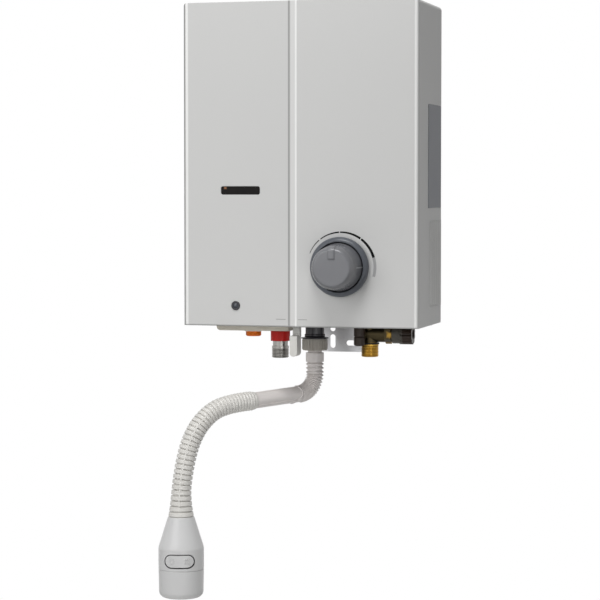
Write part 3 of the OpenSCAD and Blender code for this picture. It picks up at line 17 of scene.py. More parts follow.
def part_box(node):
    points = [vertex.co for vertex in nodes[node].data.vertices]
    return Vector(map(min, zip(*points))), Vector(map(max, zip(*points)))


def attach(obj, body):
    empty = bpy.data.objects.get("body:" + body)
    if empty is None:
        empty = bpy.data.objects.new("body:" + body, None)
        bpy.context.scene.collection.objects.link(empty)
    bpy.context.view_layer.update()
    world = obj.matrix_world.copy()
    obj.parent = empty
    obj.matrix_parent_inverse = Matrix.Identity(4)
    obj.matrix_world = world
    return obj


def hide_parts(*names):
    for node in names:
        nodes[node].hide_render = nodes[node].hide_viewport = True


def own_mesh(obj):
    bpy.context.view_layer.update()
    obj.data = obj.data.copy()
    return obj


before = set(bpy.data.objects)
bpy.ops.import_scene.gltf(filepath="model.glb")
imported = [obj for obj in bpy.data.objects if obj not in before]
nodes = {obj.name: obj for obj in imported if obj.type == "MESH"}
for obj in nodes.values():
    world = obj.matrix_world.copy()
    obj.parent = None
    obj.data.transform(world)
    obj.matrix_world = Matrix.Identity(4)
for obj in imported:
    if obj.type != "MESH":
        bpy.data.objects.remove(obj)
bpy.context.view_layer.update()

# %% [markdown]
# ## The camera
# The photograph was taken with a long lens from the right of the heater and a little above its middle.
# The case's corners gave the place and the angles, so the camera is simply put there.

# %% Camera
CAMERA_PLACE = (0.6598, -2.7551, -0.1974)
CAMERA_TILT = math.radians(87.231)
CAMERA_TURN = math.radians(14.135)
FOCAL_LENGTH = 136.51
SENSOR_WIDTH = 36
lens = bpy.data.cameras.new("camera")
lens.sensor_width = SENSOR_WIDTH
lens.lens = FOCAL_LENGTH
camera = bpy.data.objects.new("camera", lens)
camera.location = CAMERA_PLACE
camera.rotation_euler = (CAMERA_TILT, 0, CAMERA_TURN)
bpy.context.scene.collection.objects.link(camera)
bpy.context.scene.camera = camera
print("camera at", tuple(camera.location))

# %% [markdown]
# ## Shader maths as plain expressions
# A finish is a tree of nodes. Two small classes keep it readable. The first is a wire, one output of
# a node: sums and products of wires add Math nodes.

# %% Colours and wires
def tint(red, green, blue):
    """An sRGB colour from 0 to 255, as the shader wants it."""
    def linear(c):
        c = c / 255
        return c / 12.92 if c <= 0.04045 else ((c + 0.055) / 1.055) ** 2.4
    return (linear(red), linear(green), linear(blue), 1.0)


class Wire:
    """One output of a shader node."""

    def __init__(self, finish, socket):
        self.finish = finish
        self.socket = socket

    def _math(self, operation, a, b):
        return self.finish.node("ShaderNodeMath", {"operation": operation}, {0: a, 1: b})

    def __add__(self, other):
        return self._math("ADD", self, other)

    def __sub__(self, other):
        return self._math("SUBTRACT", self, other)

    def __rsub__(self, other):
        return self._math("SUBTRACT", other, self)

    def __mul__(self, other):
        return self._math("MULTIPLY", self, other)

    __radd__ = __add__

    def __abs__(self):
        return self._math("ABSOLUTE", self, 0.0)

    def largest(self, other):
        return self._math("MAXIMUM", self, other)


print("mid grey is", tuple(round(c, 3) for c in tint(128, 128, 128)))

# %% [markdown]
# The second class is a finish. It owns the tree and makes every other kind of node with one method.

# %% Finishes
class Finish:
    """A material with a Principled shader that reads object coordinates."""

    def __init__(self, name, **sockets):
        self.material = bpy.data.materials.new(name)
        self.material.use_nodes = True
        self.tree = self.material.node_tree
        self.shader = self.tree.nodes["Principled BSDF"]
        self.place = self.node("ShaderNodeTexCoord", {}, {}, "Object")
        self.set(**sockets)

    def node(self, kind, settings, inputs, output=0):
        made = self.tree.nodes.new(kind)
        for key, value in settings.items():
            if key == "stops":
                for stop, (at, colour) in zip(made.color_ramp.elements, value):
                    stop.position = at
                    stop.color = colour
            else:
                setattr(made, key, value)
        for key, value in inputs.items():
            self.feed(made.inputs[key], value)
        return Wire(self, made.outputs[output])

    def feed(self, socket, value):
        if isinstance(value, Wire):
            self.tree.links.new(value.socket, socket)
        else:
            socket.default_value = value

    def set(self, **sockets):
        for name, value in sockets.items():
            self.feed(self.shader.inputs[name.replace("_", " ")], value)

    def stretched(self, x, y, z):
        return self.node("ShaderNodeMapping", {}, {"Vector": self.place, "Scale": (x, y, z)})

    def noise(self, scale, detail=2.0, place=None):
        inputs = {"Vector": place or self.place, "Scale": scale, "Detail": detail}
        return self.node("ShaderNodeTexNoise", {}, inputs, "Fac")

    def blend(self, factor, a, b):
        return self.node("ShaderNodeMix", {"data_type": "RGBA"}, {0: factor, 6: a, 7: b}, 2)

    def ramp(self, factor, low, high):
        stops = [(low, (0, 0, 0, 1)), (high, (1, 1, 1, 1))]
        return self.node("ShaderNodeValToRGB", {"stops": stops}, {"Fac": factor})

    def rise(self, value, start, stop):
        """0 where the value is at start and 1 where it is at stop, held level beyond both."""
        inputs = {"Value": value, "From Min": start, "From Max": stop}
        return self.node("ShaderNodeMapRange", {}, inputs)

    def axes(self, vector):
        made = self.node("ShaderNodeSeparateXYZ", {}, {0: vector}).socket.node
        return [Wire(self, socket) for socket in made.outputs]

    def facing(self):
        """The three parts of the surface's direction, which turn with the piece."""
        return self.axes(self.node("ShaderNodeTexCoord", {}, {}, "Normal"))

    def bump(self, height, distance, strength, edge):
        """Relief over the surface. An edge radius softens the corners as a moulding or fold does."""
        inputs = {"Height": height, "Distance": distance, "Strength": strength}
        if edge:
            inputs["Normal"] = self.node("ShaderNodeBevel", {"samples": 6}, {"Radius": edge}, "Normal")
        return self.node("ShaderNodeBump", {}, inputs, "Normal")


print("shader helpers ready")

# %% [markdown]
# ## The cover's paint
# The cover is sheet steel with a baked grey-white enamel. Close to, sprayed enamel has a faint orange
# peel, a slow drift of tone where the coat is thicker, and a satin gloss that varies a little. Its colour
# is painted paler along the outer folds, the ridge and the ridge's slope, as painted highlights, and darker
# in the crease beside the ridge, along the lower rim and where the left fold turns back, as painted shade.

# %% Enamel
DRIFT_SCALE = 7
SPECK_SCALE = 520
PEEL_SCALE = 900
PEEL_DEPTH = 0.00002
FOLD_RADIUS = 0.0012
CREASE_X = -0.0118
CREASE_HALF = 0.0017
RIDGE_X = -0.0028
RIDGE_HALF = 0.0016
SLOPE_START = (CREASE_X + 0.0016, CREASE_X + 0.0024)
SLOPE_END = (RIDGE_X + 0.001, RIDGE_X)
FOLD_X = 0.1416
FOLD_SHIFT = 0.0009
FOLD_HALF = 0.0027
LEFT_LINE = (-0.1412, -0.1428)
LOWER_RIM = (-0.3580, -0.3592)


def enamel(name, colour, shade, pale, dark, rough):
    made = Finish(name, Specular_IOR_Level=0.22)
    drift = made.noise(DRIFT_SCALE, 3)
    speck = made.noise(SPECK_SCALE, 2)
    peel = made.noise(PEEL_SCALE, 1)
    tone = made.blend(drift * 0.7 + speck * 0.3, shade, colour)
    x, _, z = made.axes(made.place)
    ahead = made.facing()[1]
    front = made.rise(ahead, -0.5, -0.9)
    # Painted highlights on the ridge, the outer folds and the ridge's slope; painted shade in the crease,
    # along the lower rim and on the turned-back left edge.
    ridge = made.rise(abs(x - RIDGE_X), RIDGE_HALF, RIDGE_HALF * 0.4) * front
    slope = made.rise(x, *SLOPE_START) * made.rise(x, *SLOPE_END) * front
    fold = made.rise(abs(abs(x - FOLD_SHIFT) - FOLD_X), FOLD_HALF, FOLD_HALF * 0.5)
    fold = fold * made.rise(ahead, -0.6, -0.8)
    turned = made.rise(x, *LEFT_LINE) * made.rise(ahead, 0.0, -0.2)
    crease = made.rise(abs(x - CREASE_X), CREASE_HALF, CREASE_HALF * 0.3) * front
    rim = made.rise(z, *LOWER_RIM) * front
    # The pale tone paints the highlights and the dark tone paints the shade.
    tone = made.blend(ridge.largest(fold).largest(slope * 0.28) * 0.9, tone, pale)
    tone = made.blend(crease.largest(rim).largest(turned) * 0.85, tone, dark)
    made.set(Base_Color=tone, Roughness=rough - 0.05 + drift * 0.1)
    made.set(Normal=made.bump(peel, PEEL_DEPTH, 0.35, FOLD_RADIUS))
    return made.material


# The pale tone is the painted highlight and the dark tone the painted shade.
cover_enamel = enamel("cover_enamel", tint(207, 207, 206), tint(202, 202, 201), tint(244, 244, 243),
                      tint(140, 140, 139), 0.5)
print("enamel made")

# %% [markdown]
# ## Marks on the mouldings
# Three mouldings have a zone of another tone: the knob's tick, the slot round the shower head's rocker,
# painted near-black as painted shade, and the smooth collar of the filter cap.

# %% Marks on plastics
KNOB_AXIS = Vector((0.0515, 0, -0.288))
TICK_START = (-0.1765, -0.1750)
TICK_HALF = (0.0010, 0.0006)
HEAD_AXIS = Vector((-0.12675, -0.20525, 0))
ROCKER_TURN = math.radians(12)
ROCKER_FACING = Vector((math.sin(ROCKER_TURN), -math.cos(ROCKER_TURN), 0))
ROCKER_Z = -0.631
ROCKER_DEPTH = (0.0115, 0.0135)
WALL_REACH = (0.0090, 0.0084)
SLOT_FLAT = 0.0096
SLOT_R = 0.0081
SLOT_LIP = 0.0007
CAP_START = (0.0950, 0.0960)
CAP_END = (0.1110, 0.1100)


def knob_tick(made):
    """The fine raised tick on the right of the knob's rim, rubbed pale."""
    depth, height = made.axes(made.place)[1:]
    side = made.rise(made.facing()[0], 0.6, 0.8) * made.rise(depth, *TICK_START)
    return made.rise(abs(height - KNOB_AXIS.z), *TICK_HALF) * side * 0.6


def rocker_gap(made):
    """The walls of the slot round the rocker, and a thin band along the lower half of the slot's rim,
    painted dark as painted shade.
    """
    x, y, z = made.axes(made.place)
    across, ahead = made.facing()[:2]
    outward = across * ROCKER_FACING.x + ahead * ROCKER_FACING.y
    depth = (x - HEAD_AXIS.x) * ROCKER_FACING.x + (y - HEAD_AXIS.y) * ROCKER_FACING.y
    aside = (y - HEAD_AXIS.y) * ROCKER_FACING.x - (x - HEAD_AXIS.x) * ROCKER_FACING.y
    above = z - ROCKER_Z
    walls = made.rise(outward, 0.42, 0.25) * made.rise(abs(above), *WALL_REACH)
    past = (abs(aside) - SLOT_FLAT).largest(0.0)
    squared = past * past + above * above
    lip = made.rise(squared, (SLOT_R + SLOT_LIP) ** 2, (SLOT_R + SLOT_LIP * 0.6) ** 2)
    lip = lip * made.rise(squared, (SLOT_R - SLOT_LIP) ** 2, (SLOT_R - SLOT_LIP * 0.6) ** 2)
    lip = lip * made.rise(above, -0.001, -0.004)
    return walls.largest(lip) * made.rise(depth, *ROCKER_DEPTH)


def cap_collar(made):
    """The filter cap's smooth collar, which is greyer than its grip."""
    x = made.axes(made.place)[0]
    return made.rise(x, *CAP_START) * made.rise(x, *CAP_END)


print("three marks described")

# %% [markdown]
# ## Moulded plastics
# The knob, bezel, nut, hose and head are injection-moulded. A spark-eroded mould leaves a very fine grain,
# and each piece has a slow unevenness of tone and gloss.

# %% Plastics
CAST_SCALE = 28
GRAIN_SCALE = 1600
GRAIN_DEPTH = 0.00003


def moulded(name, colour, shade, rough, edge=0.0006, gloss=0.45, mark=None):
    made = Finish(name, Specular_IOR_Level=gloss)
    drift = made.noise(CAST_SCALE, 3)
    pits = made.noise(GRAIN_SCALE, 2)
    tone = made.blend(drift, shade, colour)
    if mark:
        where, marked = mark
        tone = made.blend(where(made), tone, marked)
    made.set(Base_Color=tone)
    made.set(Roughness=rough - 0.06 + drift * 0.07 + pits * 0.05)
    made.set(Normal=made.bump(pits, GRAIN_DEPTH, 0.5, edge))
    return made.material


knob_plastic = moulded("knob_plastic", tint(112, 113, 117), tint(105, 106, 110), 0.22, 0.0024, gloss=0.6,
                       mark=(knob_tick, tint(190, 191, 194)))
bezel_plastic = moulded("bezel_plastic", tint(82, 86, 93), tint(75, 79, 86), 0.3, 0.0022, gloss=0.4)
spout_plastic = moulded("spout_plastic", tint(219, 214, 212), tint(212, 207, 204), 0.36)
hose_plastic = moulded("hose_plastic", tint(217, 215, 211), tint(211, 209, 204), 0.42, 0.0)
# The rocker's slot is painted near-black: painted shade.
head_plastic = moulded("head_plastic", tint(209, 209, 209), tint(203, 203, 203), 0.32,
                       mark=(rocker_gap, tint(14, 14, 15)))
nut_plastic = moulded("nut_plastic", tint(168, 163, 155), tint(156, 151, 143), 0.46)
lever_plastic = moulded("lever_plastic", tint(214, 213, 209), tint(205, 203, 198), 0.42)
black_plastic = moulded("black_plastic", tint(50, 49, 54), tint(38, 37, 42), 0.3)
brown_plastic = moulded("brown_plastic", tint(52, 39, 30), tint(36, 26, 19), 0.4, gloss=0.3,
                        mark=(cap_collar, tint(82, 79, 72)))
beige_plastic = moulded("beige_plastic", tint(222, 216, 203), tint(213, 207, 193), 0.5)
orange_plastic = moulded("orange_plastic", tint(240, 124, 6), tint(222, 106, 3), 0.42, gloss=0.3)
red_band = moulded("red_band", tint(208, 33, 27), tint(188, 24, 19), 0.42, gloss=0.3)
rubber = moulded("rubber", tint(26, 26, 27), tint(18, 18, 19), 0.7)
lamp_glass = moulded("lamp_glass", tint(60, 64, 72), tint(46, 50, 58), 0.16)
ceramic = moulded("ceramic", tint(236, 233, 225), tint(226, 222, 212), 0.25)
wrap = moulded("wrap", tint(70, 92, 124), tint(58, 80, 112), 0.3)
print("plastics made")

# %% [markdown]
# ## Metals
# The wall plate is zinc-coated sheet with a soft spangle, the gas stub is turned steel with fine tool
# marks round it, the water stub is turned brass below a stained tee that is painted dark higher up as
# painted shade under the case, with a square on one flat of its nut left bright, and the pipes are copper.

# %% Metals
CLOUD_SCALE = 45
TOOL_DEPTH = 0.00004
METAL_EDGE = 0.0003
NUT_X = 0.0948
NUT_Z = -0.3720
NUT_HALF = 0.0040
BRIGHT_FLAT_NOISE_SCALE = 260


def metal(name, colour, stain_and_shade_tone, rough, streak, amount, painted_shade_heights=None):
    """Metal with tool marks and stains. Given two shade heights, the stained tone is painted over all of it
    from the lower height up, as painted shade, except on a square on one flat of the nut, which stays
    mostly bright.
    """
    made = Finish(name, Metallic=1.0)
    tool = made.noise(1.0, 3, made.stretched(*streak))
    cloud = made.noise(CLOUD_SCALE, 4)
    stain_and_shade_mask = made.ramp(cloud, 0.45, 0.75)
    if painted_shade_heights:
        x, _, z = made.axes(made.place)
        # Painted shade under the case: above the given heights the stained tone covers the metal; a square
        # on one flat of the tee's nut is left mostly bright.
        away = abs(x - NUT_X).largest(abs(z - NUT_Z)) + (made.noise(BRIGHT_FLAT_NOISE_SCALE, 2) - 0.5) * 0.005
        bright_flat = made.rise(away, NUT_HALF, NUT_HALF * 0.4) * 0.7
        stain_and_shade_mask = stain_and_shade_mask.largest(made.rise(z + (cloud - 0.5) * 0.012, *painted_shade_heights)) * (1 - bright_flat)
    made.set(Base_Color=made.blend(stain_and_shade_mask * amount, colour, stain_and_shade_tone))
    made.set(Roughness=rough - 0.08 + tool * 0.16 + stain_and_shade_mask * 0.1)
    made.set(Normal=made.bump(tool, TOOL_DEPTH, 0.4, METAL_EDGE))
    return made.material


zinc = metal("zinc", tint(204, 204, 206), tint(182, 182, 184), 0.34, (900, 60, 60), 0.5)
turned_steel = metal("turned_steel", tint(156, 154, 150), tint(118, 116, 112), 0.28, (40, 40, 1500), 0.4)
sheet_steel = metal("sheet_steel", tint(186, 186, 186), tint(160, 160, 160), 0.38, (60, 60, 800), 0.4)
bright_steel = metal("bright_steel", tint(210, 210, 208), tint(180, 180, 178), 0.22, (300, 300, 300), 0.3)
# The brass is painted with the stained tone above a given height under the case, as painted shade.
brass = metal("brass", tint(178, 140, 60), tint(54, 53, 45), 0.3, (120, 120, 900), 0.93,
              painted_shade_heights=(-0.385, -0.381))
copper = metal("copper", tint(198, 124, 88), tint(140, 84, 60), 0.34, (200, 200, 200), 0.5)
cast_alloy = metal("cast_alloy", tint(176, 176, 174), tint(140, 140, 138), 0.5, (500, 500, 500), 0.4)
print("metals made")

# %% [markdown]
# ## The flame window
# A strip of dark heat-proof glass, flush with the panel. Behind it is the unlit chamber, and the tip of
# the igniter's copper sleeve shows as a faint warm spot near the strip's upper left corner.

# %% Window glass
WARM_X = -0.0916
WARM_Z = -0.1950
WARM_REACH = (0.0026, 0.0006)
SMOKE_SCALE = 60


def dark_glass(name):
    made = Finish(name, Specular_IOR_Level=0.05)
    smoke = made.noise(SMOKE_SCALE, 3)
    x, _, z = made.axes(made.place)
    away = abs(x - WARM_X).largest(abs(z - WARM_Z) * 1.2)
    warm = made.rise(away + smoke * 0.0008, *WARM_REACH)
    tone = made.blend(smoke, tint(8, 7, 7), tint(24, 20, 18))
    made.set(Base_Color=made.blend(warm, tone, tint(164, 116, 84)))
    made.set(Roughness=smoke * 0.08 + 0.05)
    return made.material


window_glass = dark_glass("window_glass")
print("glass made")

# %% [markdown]
# ## Finishes for the solids that stay
# Most solids are shown as they are, with a finish for each.

# %% Dress the solids
dress = {
    cover_enamel: ["front_cover"],
    zinc: ["back_plate", "lever_bracket", "chamber_brackets"],
    sheet_steel: ["exhaust_grille", "exhaust_hood", "burner_frame", "burner_blades"],
    bright_steel: ["cover_screws", "governor_screws", "push_spindle", "lid_pin", "battery_contacts",
                   "filter_strainer", "rocker_pin"],
    copper: ["exchanger_fins", "exchanger_tubes", "combustion_chamber", "cold_pipe", "hot_pipe",
             "drain_pipe"],
    cast_alloy: ["burner_manifold", "gas_riser", "gas_valve_body"],
    brass: ["governor_body", "governor_cover", "water_inlet_body"],
    turned_steel: ["gas_inlet_pipe"],
    window_glass: ["window_pane"],
    bezel_plastic: ["knob_bezel"],
    knob_plastic: ["knob"],
    black_plastic: ["lamp_bezel", "control_box", "gas_solenoid", "outlet_spigot"],
    lamp_glass: ["lamp_lens"],
    rubber: ["governor_diaphragm", "inlet_ring", "outlet_gasket"],
    ceramic: ["igniter", "flame_sensor"],
    red_band: ["gas_band"],
    brown_plastic: ["relief_plug", "filter_cap"],
    orange_plastic: ["drain_plug"],
    nut_plastic: ["union_nut"],
    lever_plastic: ["capacity_lever"],
    beige_plastic: ["battery_housing", "battery_lid"],
    wrap: ["battery_cell"],
    spout_plastic: ["spout_tail", "spout_tube", "spray_plate"],
    head_plastic: ["head_shell", "head_rocker"],
}
for material, names in dress.items():
    for name in names:
        nodes[name].data.materials.clear()
        nodes[name].data.materials.append(material)
print("dressed", sum(len(names) for names in dress.values()), "solids")

# %% [markdown]
# ## The spout's plane
# The spout leaves the outlet downwards and swings to the front left. Its elbow, tube and hose lie in one
# upright plane through the outlet's axis, so their lines are written as a distance from that axis and
# a height, and turned into the frame at the end.

# %% Spout plane
OUTLET = Vector((0.0035, -0.075, 0))
HEADING = math.radians(225)


def in_spout_plane(reach, height):
    return OUTLET + Vector((reach * math.cos(HEADING), reach * math.sin(HEADING), height))


def ribbed(name, line, body, material, sides):
    """A curve along line, a list of (point, radius), drawn as a round tube of that changing radius."""
    curve = bpy.data.curves.new(name, "CURVE")
    curve.dimensions = "3D"
    curve.bevel_depth = 1.0
    curve.bevel_resolution = sides // 4 - 1
    curve.use_fill_caps = False
    spline = curve.splines.new("POLY")
    spline.points.add(len(line) - 1)
    for made, (point, radius) in zip(spline.points, line):
        made.co = (*point, 1)
        made.radius = radius
    spline.use_smooth = True
    piece = bpy.data.objects.new(name, curve)
    bpy.context.scene.collection.objects.link(piece)
    curve.materials.append(material)
    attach(piece, body)
    return piece


print("the spout heads for", tuple(round(v, 3) for v in in_spout_plane(0.1, 0) - OUTLET))

# %% [markdown]
# ## The hose's route
# The hose leaves the tube level, bends over and hangs down to the shower head. Its route is a few points
# in the spout's plane with a smooth curve through them, measured along its length.

# %% Hose route
HOSE_ROUTE = [
    (0.0845, -0.4492), (0.094, -0.4498), (0.104, -0.4505), (0.115, -0.4519), (0.1255, -0.4539),
    (0.1355, -0.4570), (0.1445, -0.4619), (0.1525, -0.4683), (0.1601, -0.4762), (0.1663, -0.4854),
    (0.1713, -0.4954), (0.1752, -0.5064), (0.1782, -0.5176), (0.1806, -0.5290), (0.1826, -0.5410),
    (0.1838, -0.5530), (0.1842, -0.5670), (0.1842, -0.5815),
]


def along(route, q):
    """A point on the smooth curve through a route's points; q counts along the points."""
    last = len(route) - 1
    i = min(int(q), last - 1)
    t = q - i
    knots = [Vector(route[k]) for k in (max(i - 1, 0), i, i + 1, min(i + 2, last))]
    if i == 0:
        knots[0] = 2 * knots[1] - knots[2]
    if i == last - 1:
        knots[3] = 2 * knots[2] - knots[1]
    a, b, c, d = knots
    bend = (2 * a - 5 * b + 4 * c - d) * t * t + (3 * b - a - 3 * c + d) * t ** 3
    return 0.5 * (2 * b + (c - a) * t + bend)


def measured(route, steps=800):
    """Points along the curve through a route, and the distance run up to each."""
    spots = [Vector(route[0])]
    runs = [0.0]
    for step in range(1, steps + 1):
        spots.append(along(route, step * (len(route) - 1) / steps))
        runs.append(runs[-1] + (spots[-1] - spots[-2]).length)
    return spots, runs


hose_spots, hose_runs = measured(HOSE_ROUTE)
print("the hose's route runs", round(hose_runs[-1], 4), "m")

# %% [markdown]
# ## The ribbed hose
# The hose that carries the shower head is a goose-neck of flat ribs with a narrow groove between each two.
# Near the tube the ribs are fine and soft, and towards the head they grow wider and their grooves sharp
# and deep. It is a curve of one spline whose radius rises and falls along its length: the ribs are set
# out by the distance run along the route, with points close together where a groove's edges turn. The
# first rib tapers onto the tube, and the last ones flare to meet the head.

# %% Hose
HOSE_RIBS = 38
HOSE_R = 0.0116
RIB_GROWTH = 0.28
GROOVE_START = 0.00035
GROOVE_END = 0.0021
TAPER = 0.0012
TAPER_RIBS = 1.6
FLARE = 0.0036
FLARE_RIBS = 6
RIB_SHAPE = [(0.0, 1.0), (0.07, 1.0), (0.1, 0.7), (0.13, 0.15), (0.16, 0.02), (0.22, 0.0), (0.36, 0.0),
             (0.5, 0.0), (0.64, 0.0), (0.78, 0.0), (0.84, 0.02), (0.87, 0.15), (0.9, 0.7), (0.93, 1.0)]


def hose_spot(count):
    """The hose's centre at a count of ribs: the ribs grow wider from the tube to the head."""
    share = count / HOSE_RIBS
    run = ((1 - RIB_GROWTH) * share + RIB_GROWTH * share * share) * hose_runs[-1]
    i = min(bisect.bisect_right(hose_runs, run), len(hose_runs) - 1)
    t = (run - hose_runs[i - 1]) / (hose_runs[i] - hose_runs[i - 1])
    return in_spout_plane(*hose_spots[i - 1].lerp(hose_spots[i], t))


def crest(count):
    """The ribs' outer radius at a count of ribs."""
    taper = max(0.0, 1 - count / TAPER_RIBS)
    flare = max(0.0, (count - HOSE_RIBS + FLARE_RIBS) / FLARE_RIBS)
    return HOSE_R - TAPER * taper + FLARE * flare * flare


hose_line = []
for rib in range(HOSE_RIBS):
    for at, cut in RIB_SHAPE:
        count = rib + at
        sharp = min(1.0, 2 * count / HOSE_RIBS)
        soft = 0.5 + 0.5 * math.cos(2 * math.pi * at)
        groove = GROOVE_START + (GROOVE_END - GROOVE_START) * sharp
        hose_line.append((hose_spot(count), crest(count) - groove * (sharp * cut + (1 - sharp) * soft)))
hose_line.append((hose_spot(HOSE_RIBS), crest(HOSE_RIBS) - GROOVE_END / 3))
hose = ribbed("ribbed_hose", hose_line, "spout", hose_plastic, 40)
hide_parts("spout_hose")
hose_length = sum((b[0] - a[0]).length for a, b in zip(hose_line, hose_line[1:]))
print("hose length", round(hose_length, 4))

# %% [markdown]
# ## The ribbed elbow
# Above the smooth tube, the spout turns from the outlet's collar in a ribbed elbow: three wide folds on
# the straight part, then folds that grow finer round the bend. It turns until its end looks straight at
# the hose.

# %% Elbow
COLLAR_Z = -0.4058
STRAIGHT = 0.0145
BEND = 0.024
TO_HOSE = Vector(HOSE_ROUTE[0]) - Vector((BEND, COLLAR_Z - STRAIGHT))
TURN = math.atan2(TO_HOSE.y, TO_HOSE.x) + math.acos(-BEND / TO_HOSE.length)
WIDE_FOLDS = 3
WIDE_SHAPE = [(0.0, 0.0089), (0.22, 0.0089), (0.38, 0.0100), (0.5, 0.0108), (0.7, 0.0108), (0.82, 0.0100),
              (0.97, 0.0090)]
FINE_FOLDS = 15
FINE_SHAPE = [(0.0, 0.0), (0.13, 0.08), (0.33, 0.7), (0.46, 1.0), (0.54, 1.0), (0.67, 0.7), (0.87, 0.08)]
FOLD_R = 0.0108
FOLD_DEPTH = 0.0021
FOLD_FADE = 0.0010
CROWDING = 0.4
ELBOW_END_R = 0.0100


def on_bend(turned):
    return in_spout_plane(BEND * (1 - math.cos(turned)), COLLAR_Z - STRAIGHT - BEND * math.sin(turned))


elbow_line = []
for fold in range(WIDE_FOLDS):
    for at, radius in WIDE_SHAPE:
        elbow_line.append((in_spout_plane(0, COLLAR_Z - STRAIGHT * (fold + at) / WIDE_FOLDS), radius))
for fold in range(FINE_FOLDS):
    for at, height in FINE_SHAPE:
        share = (fold + at) / FINE_FOLDS
        spot = on_bend(TURN * ((1 + CROWDING) * share - CROWDING * share * share))
        elbow_line.append((spot, FOLD_R - (FOLD_DEPTH - FOLD_FADE * share) * (1 - height)))
elbow_end = on_bend(TURN)
elbow_line.append((elbow_end, ELBOW_END_R))
elbow = ribbed("ribbed_elbow", elbow_line, "spout", spout_plastic, 48)
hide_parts("spout_elbow")
print("elbow ends at", tuple(round(v, 4) for v in elbow_end))

# %% [markdown]
# ## The tube's bead and seam
# A slanting saddle-shaped bead closes the elbow where the smooth tube begins, and the mould's parting line
# runs on from the bead along the tube.

# %% Bead and seam
BEAD_R = 0.0099
BEAD_WIRE = 0.0009
BEAD_START = 0.001
BEAD_STEP = 7.5
SADDLE = 0.0069
SLANT = 0.0045
SEAM_AT = 32
SEAM_WIRE = 0.0006
tube_run = in_spout_plane(*HOSE_ROUTE[0]) - elbow_end
tube_length = tube_run.length
tube_ahead = tube_run.normalized()
tube_side = Vector((-math.sin(HEADING), math.cos(HEADING), 0))
tube_under = tube_side.cross(tube_ahead)


def on_tube(degrees, reach):
    """A point on the smooth tube: degrees from its right side towards its underside, and how far along."""
    around = math.radians(degrees)
    arm = tube_side * math.cos(around) + tube_under * math.sin(around)
    return elbow_end + tube_ahead * reach + BEAD_R * arm


def bead_reach(degrees):
    dip = math.sin(math.radians(degrees))
    return BEAD_START + SADDLE * dip * dip + SLANT * dip


bead_angles = [BEAD_STEP * step for step in range(49)]
bead_line = [(on_tube(at, bead_reach(at)), BEAD_WIRE) for at in bead_angles]
bead = ribbed("elbow_bead", bead_line, "spout", spout_plastic, 12)
seam_reaches = [bead_reach(SEAM_AT), tube_length / 2, tube_length]
seam_line = [(on_tube(SEAM_AT, reach), SEAM_WIRE) for reach in seam_reaches]
seam = ribbed("tube_seam", seam_line, "spout", spout_plastic, 12)
print("the smooth tube is", round(tube_length, 4), "m long")

# %% [markdown]
# ## Pieces from meshes
# The rest of the new pieces are small meshes made with bmesh operators. One helper turns a finished bmesh
# into a piece that rides on a body of the frame and names the finish slot it belongs to.

# %% Mesh helper
def piece_from(bm, name, body, material, smooth=True):
    mesh = bpy.data.meshes.new(name)
    bm.to_mesh(mesh)
    bm.free()
    mesh.materials.append(material)
    for face in mesh.polygons:
        face.use_smooth = smooth
    piece = bpy.data.objects.new(name, mesh)
    bpy.context.scene.collection.objects.link(piece)
    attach(piece, body)
    return piece


print("mesh helper ready")

# %% [markdown]
# ## Ties between the ribs
# On the hanging half of the hose a short tie bridges each groove at the front, so that the ribs can't
# spread when the hose is pulled. Each tie is a small bevelled block laid across its groove.

# %% Hose ties
TIE = Matrix.Diagonal((0.0020, 0.0016, 0.0022, 1))
TIE_TURN = math.radians(6)
TIE_FACING = Vector((math.sin(TIE_TURN), -math.cos(TIE_TURN), 0))
TIE_SINK = 0.0009
TIE_BEVEL = 0.0002
FIRST_TIE = 17
LAST_TIE = HOSE_RIBS - 1
bm = bmesh.new()
for rib in range(FIRST_TIE, LAST_TIE):
    spot = hose_spot(rib)
    ahead = (hose_spot(rib + 0.1) - spot).normalized()
    front = (TIE_FACING - ahead * TIE_FACING.dot(ahead)).normalized()
    turn = Matrix((front.cross(ahead), front, ahead)).transposed().to_4x4()
    place = Matrix.Translation(spot + front * (crest(rib) - TIE_SINK))
    bmesh.ops.create_cube(bm, size=1.0, matrix=place @ turn @ TIE)
bmesh.ops.bevel(bm, geom=bm.edges[:], offset=TIE_BEVEL, affect="EDGES", segments=2, profile=0.5,
                material=-1)
piece_from(bm, "hose_ties", "spout", hose_plastic)
print("ties:", LAST_TIE - FIRST_TIE)

# %% [markdown]
# ## The spigot's foot
# Just above its flange the black spigot thickens into a foot with a softened upper edge. It is one
# profile spun round the outlet's axis.

# %% Spigot foot
FOOT_R = 0.0124
FOOT_LOW = -0.3757
FOOT_TOP = -0.3718
FOOT_SOFT = 0.0009
SPIGOT_R = 0.0113
outline = [(SPIGOT_R, FOOT_LOW), (FOOT_R, FOOT_LOW), (FOOT_R, FOOT_TOP - FOOT_SOFT),
           (FOOT_R - FOOT_SOFT / 3, FOOT_TOP - FOOT_SOFT / 3), (SPIGOT_R, FOOT_TOP)]
bm = bmesh.new()
ends = [bm.verts.new((OUTLET.x + r, OUTLET.y, z)) for r, z in outline]
profile = [bm.edges.new(pair) for pair in zip(ends, ends[1:])]
bmesh.ops.spin(bm, geom=ends + profile, cent=OUTLET, axis=(0, 0, 1), angle=2 * math.pi, steps=64,
               use_merge=True)
bmesh.ops.remove_doubles(bm, verts=bm.verts, dist=0.00001)
bmesh.ops.recalc_face_normals(bm, faces=bm.faces)
piece_from(bm, "spigot_foot", "heater", black_plastic)
print("spigot foot spun")

# %% [markdown]
# ## The return spring
# Behind the knob a steel coil pushes the spindle back out. A wire circle is screwed round the spindle's
# axis into a coil of the solid's size.

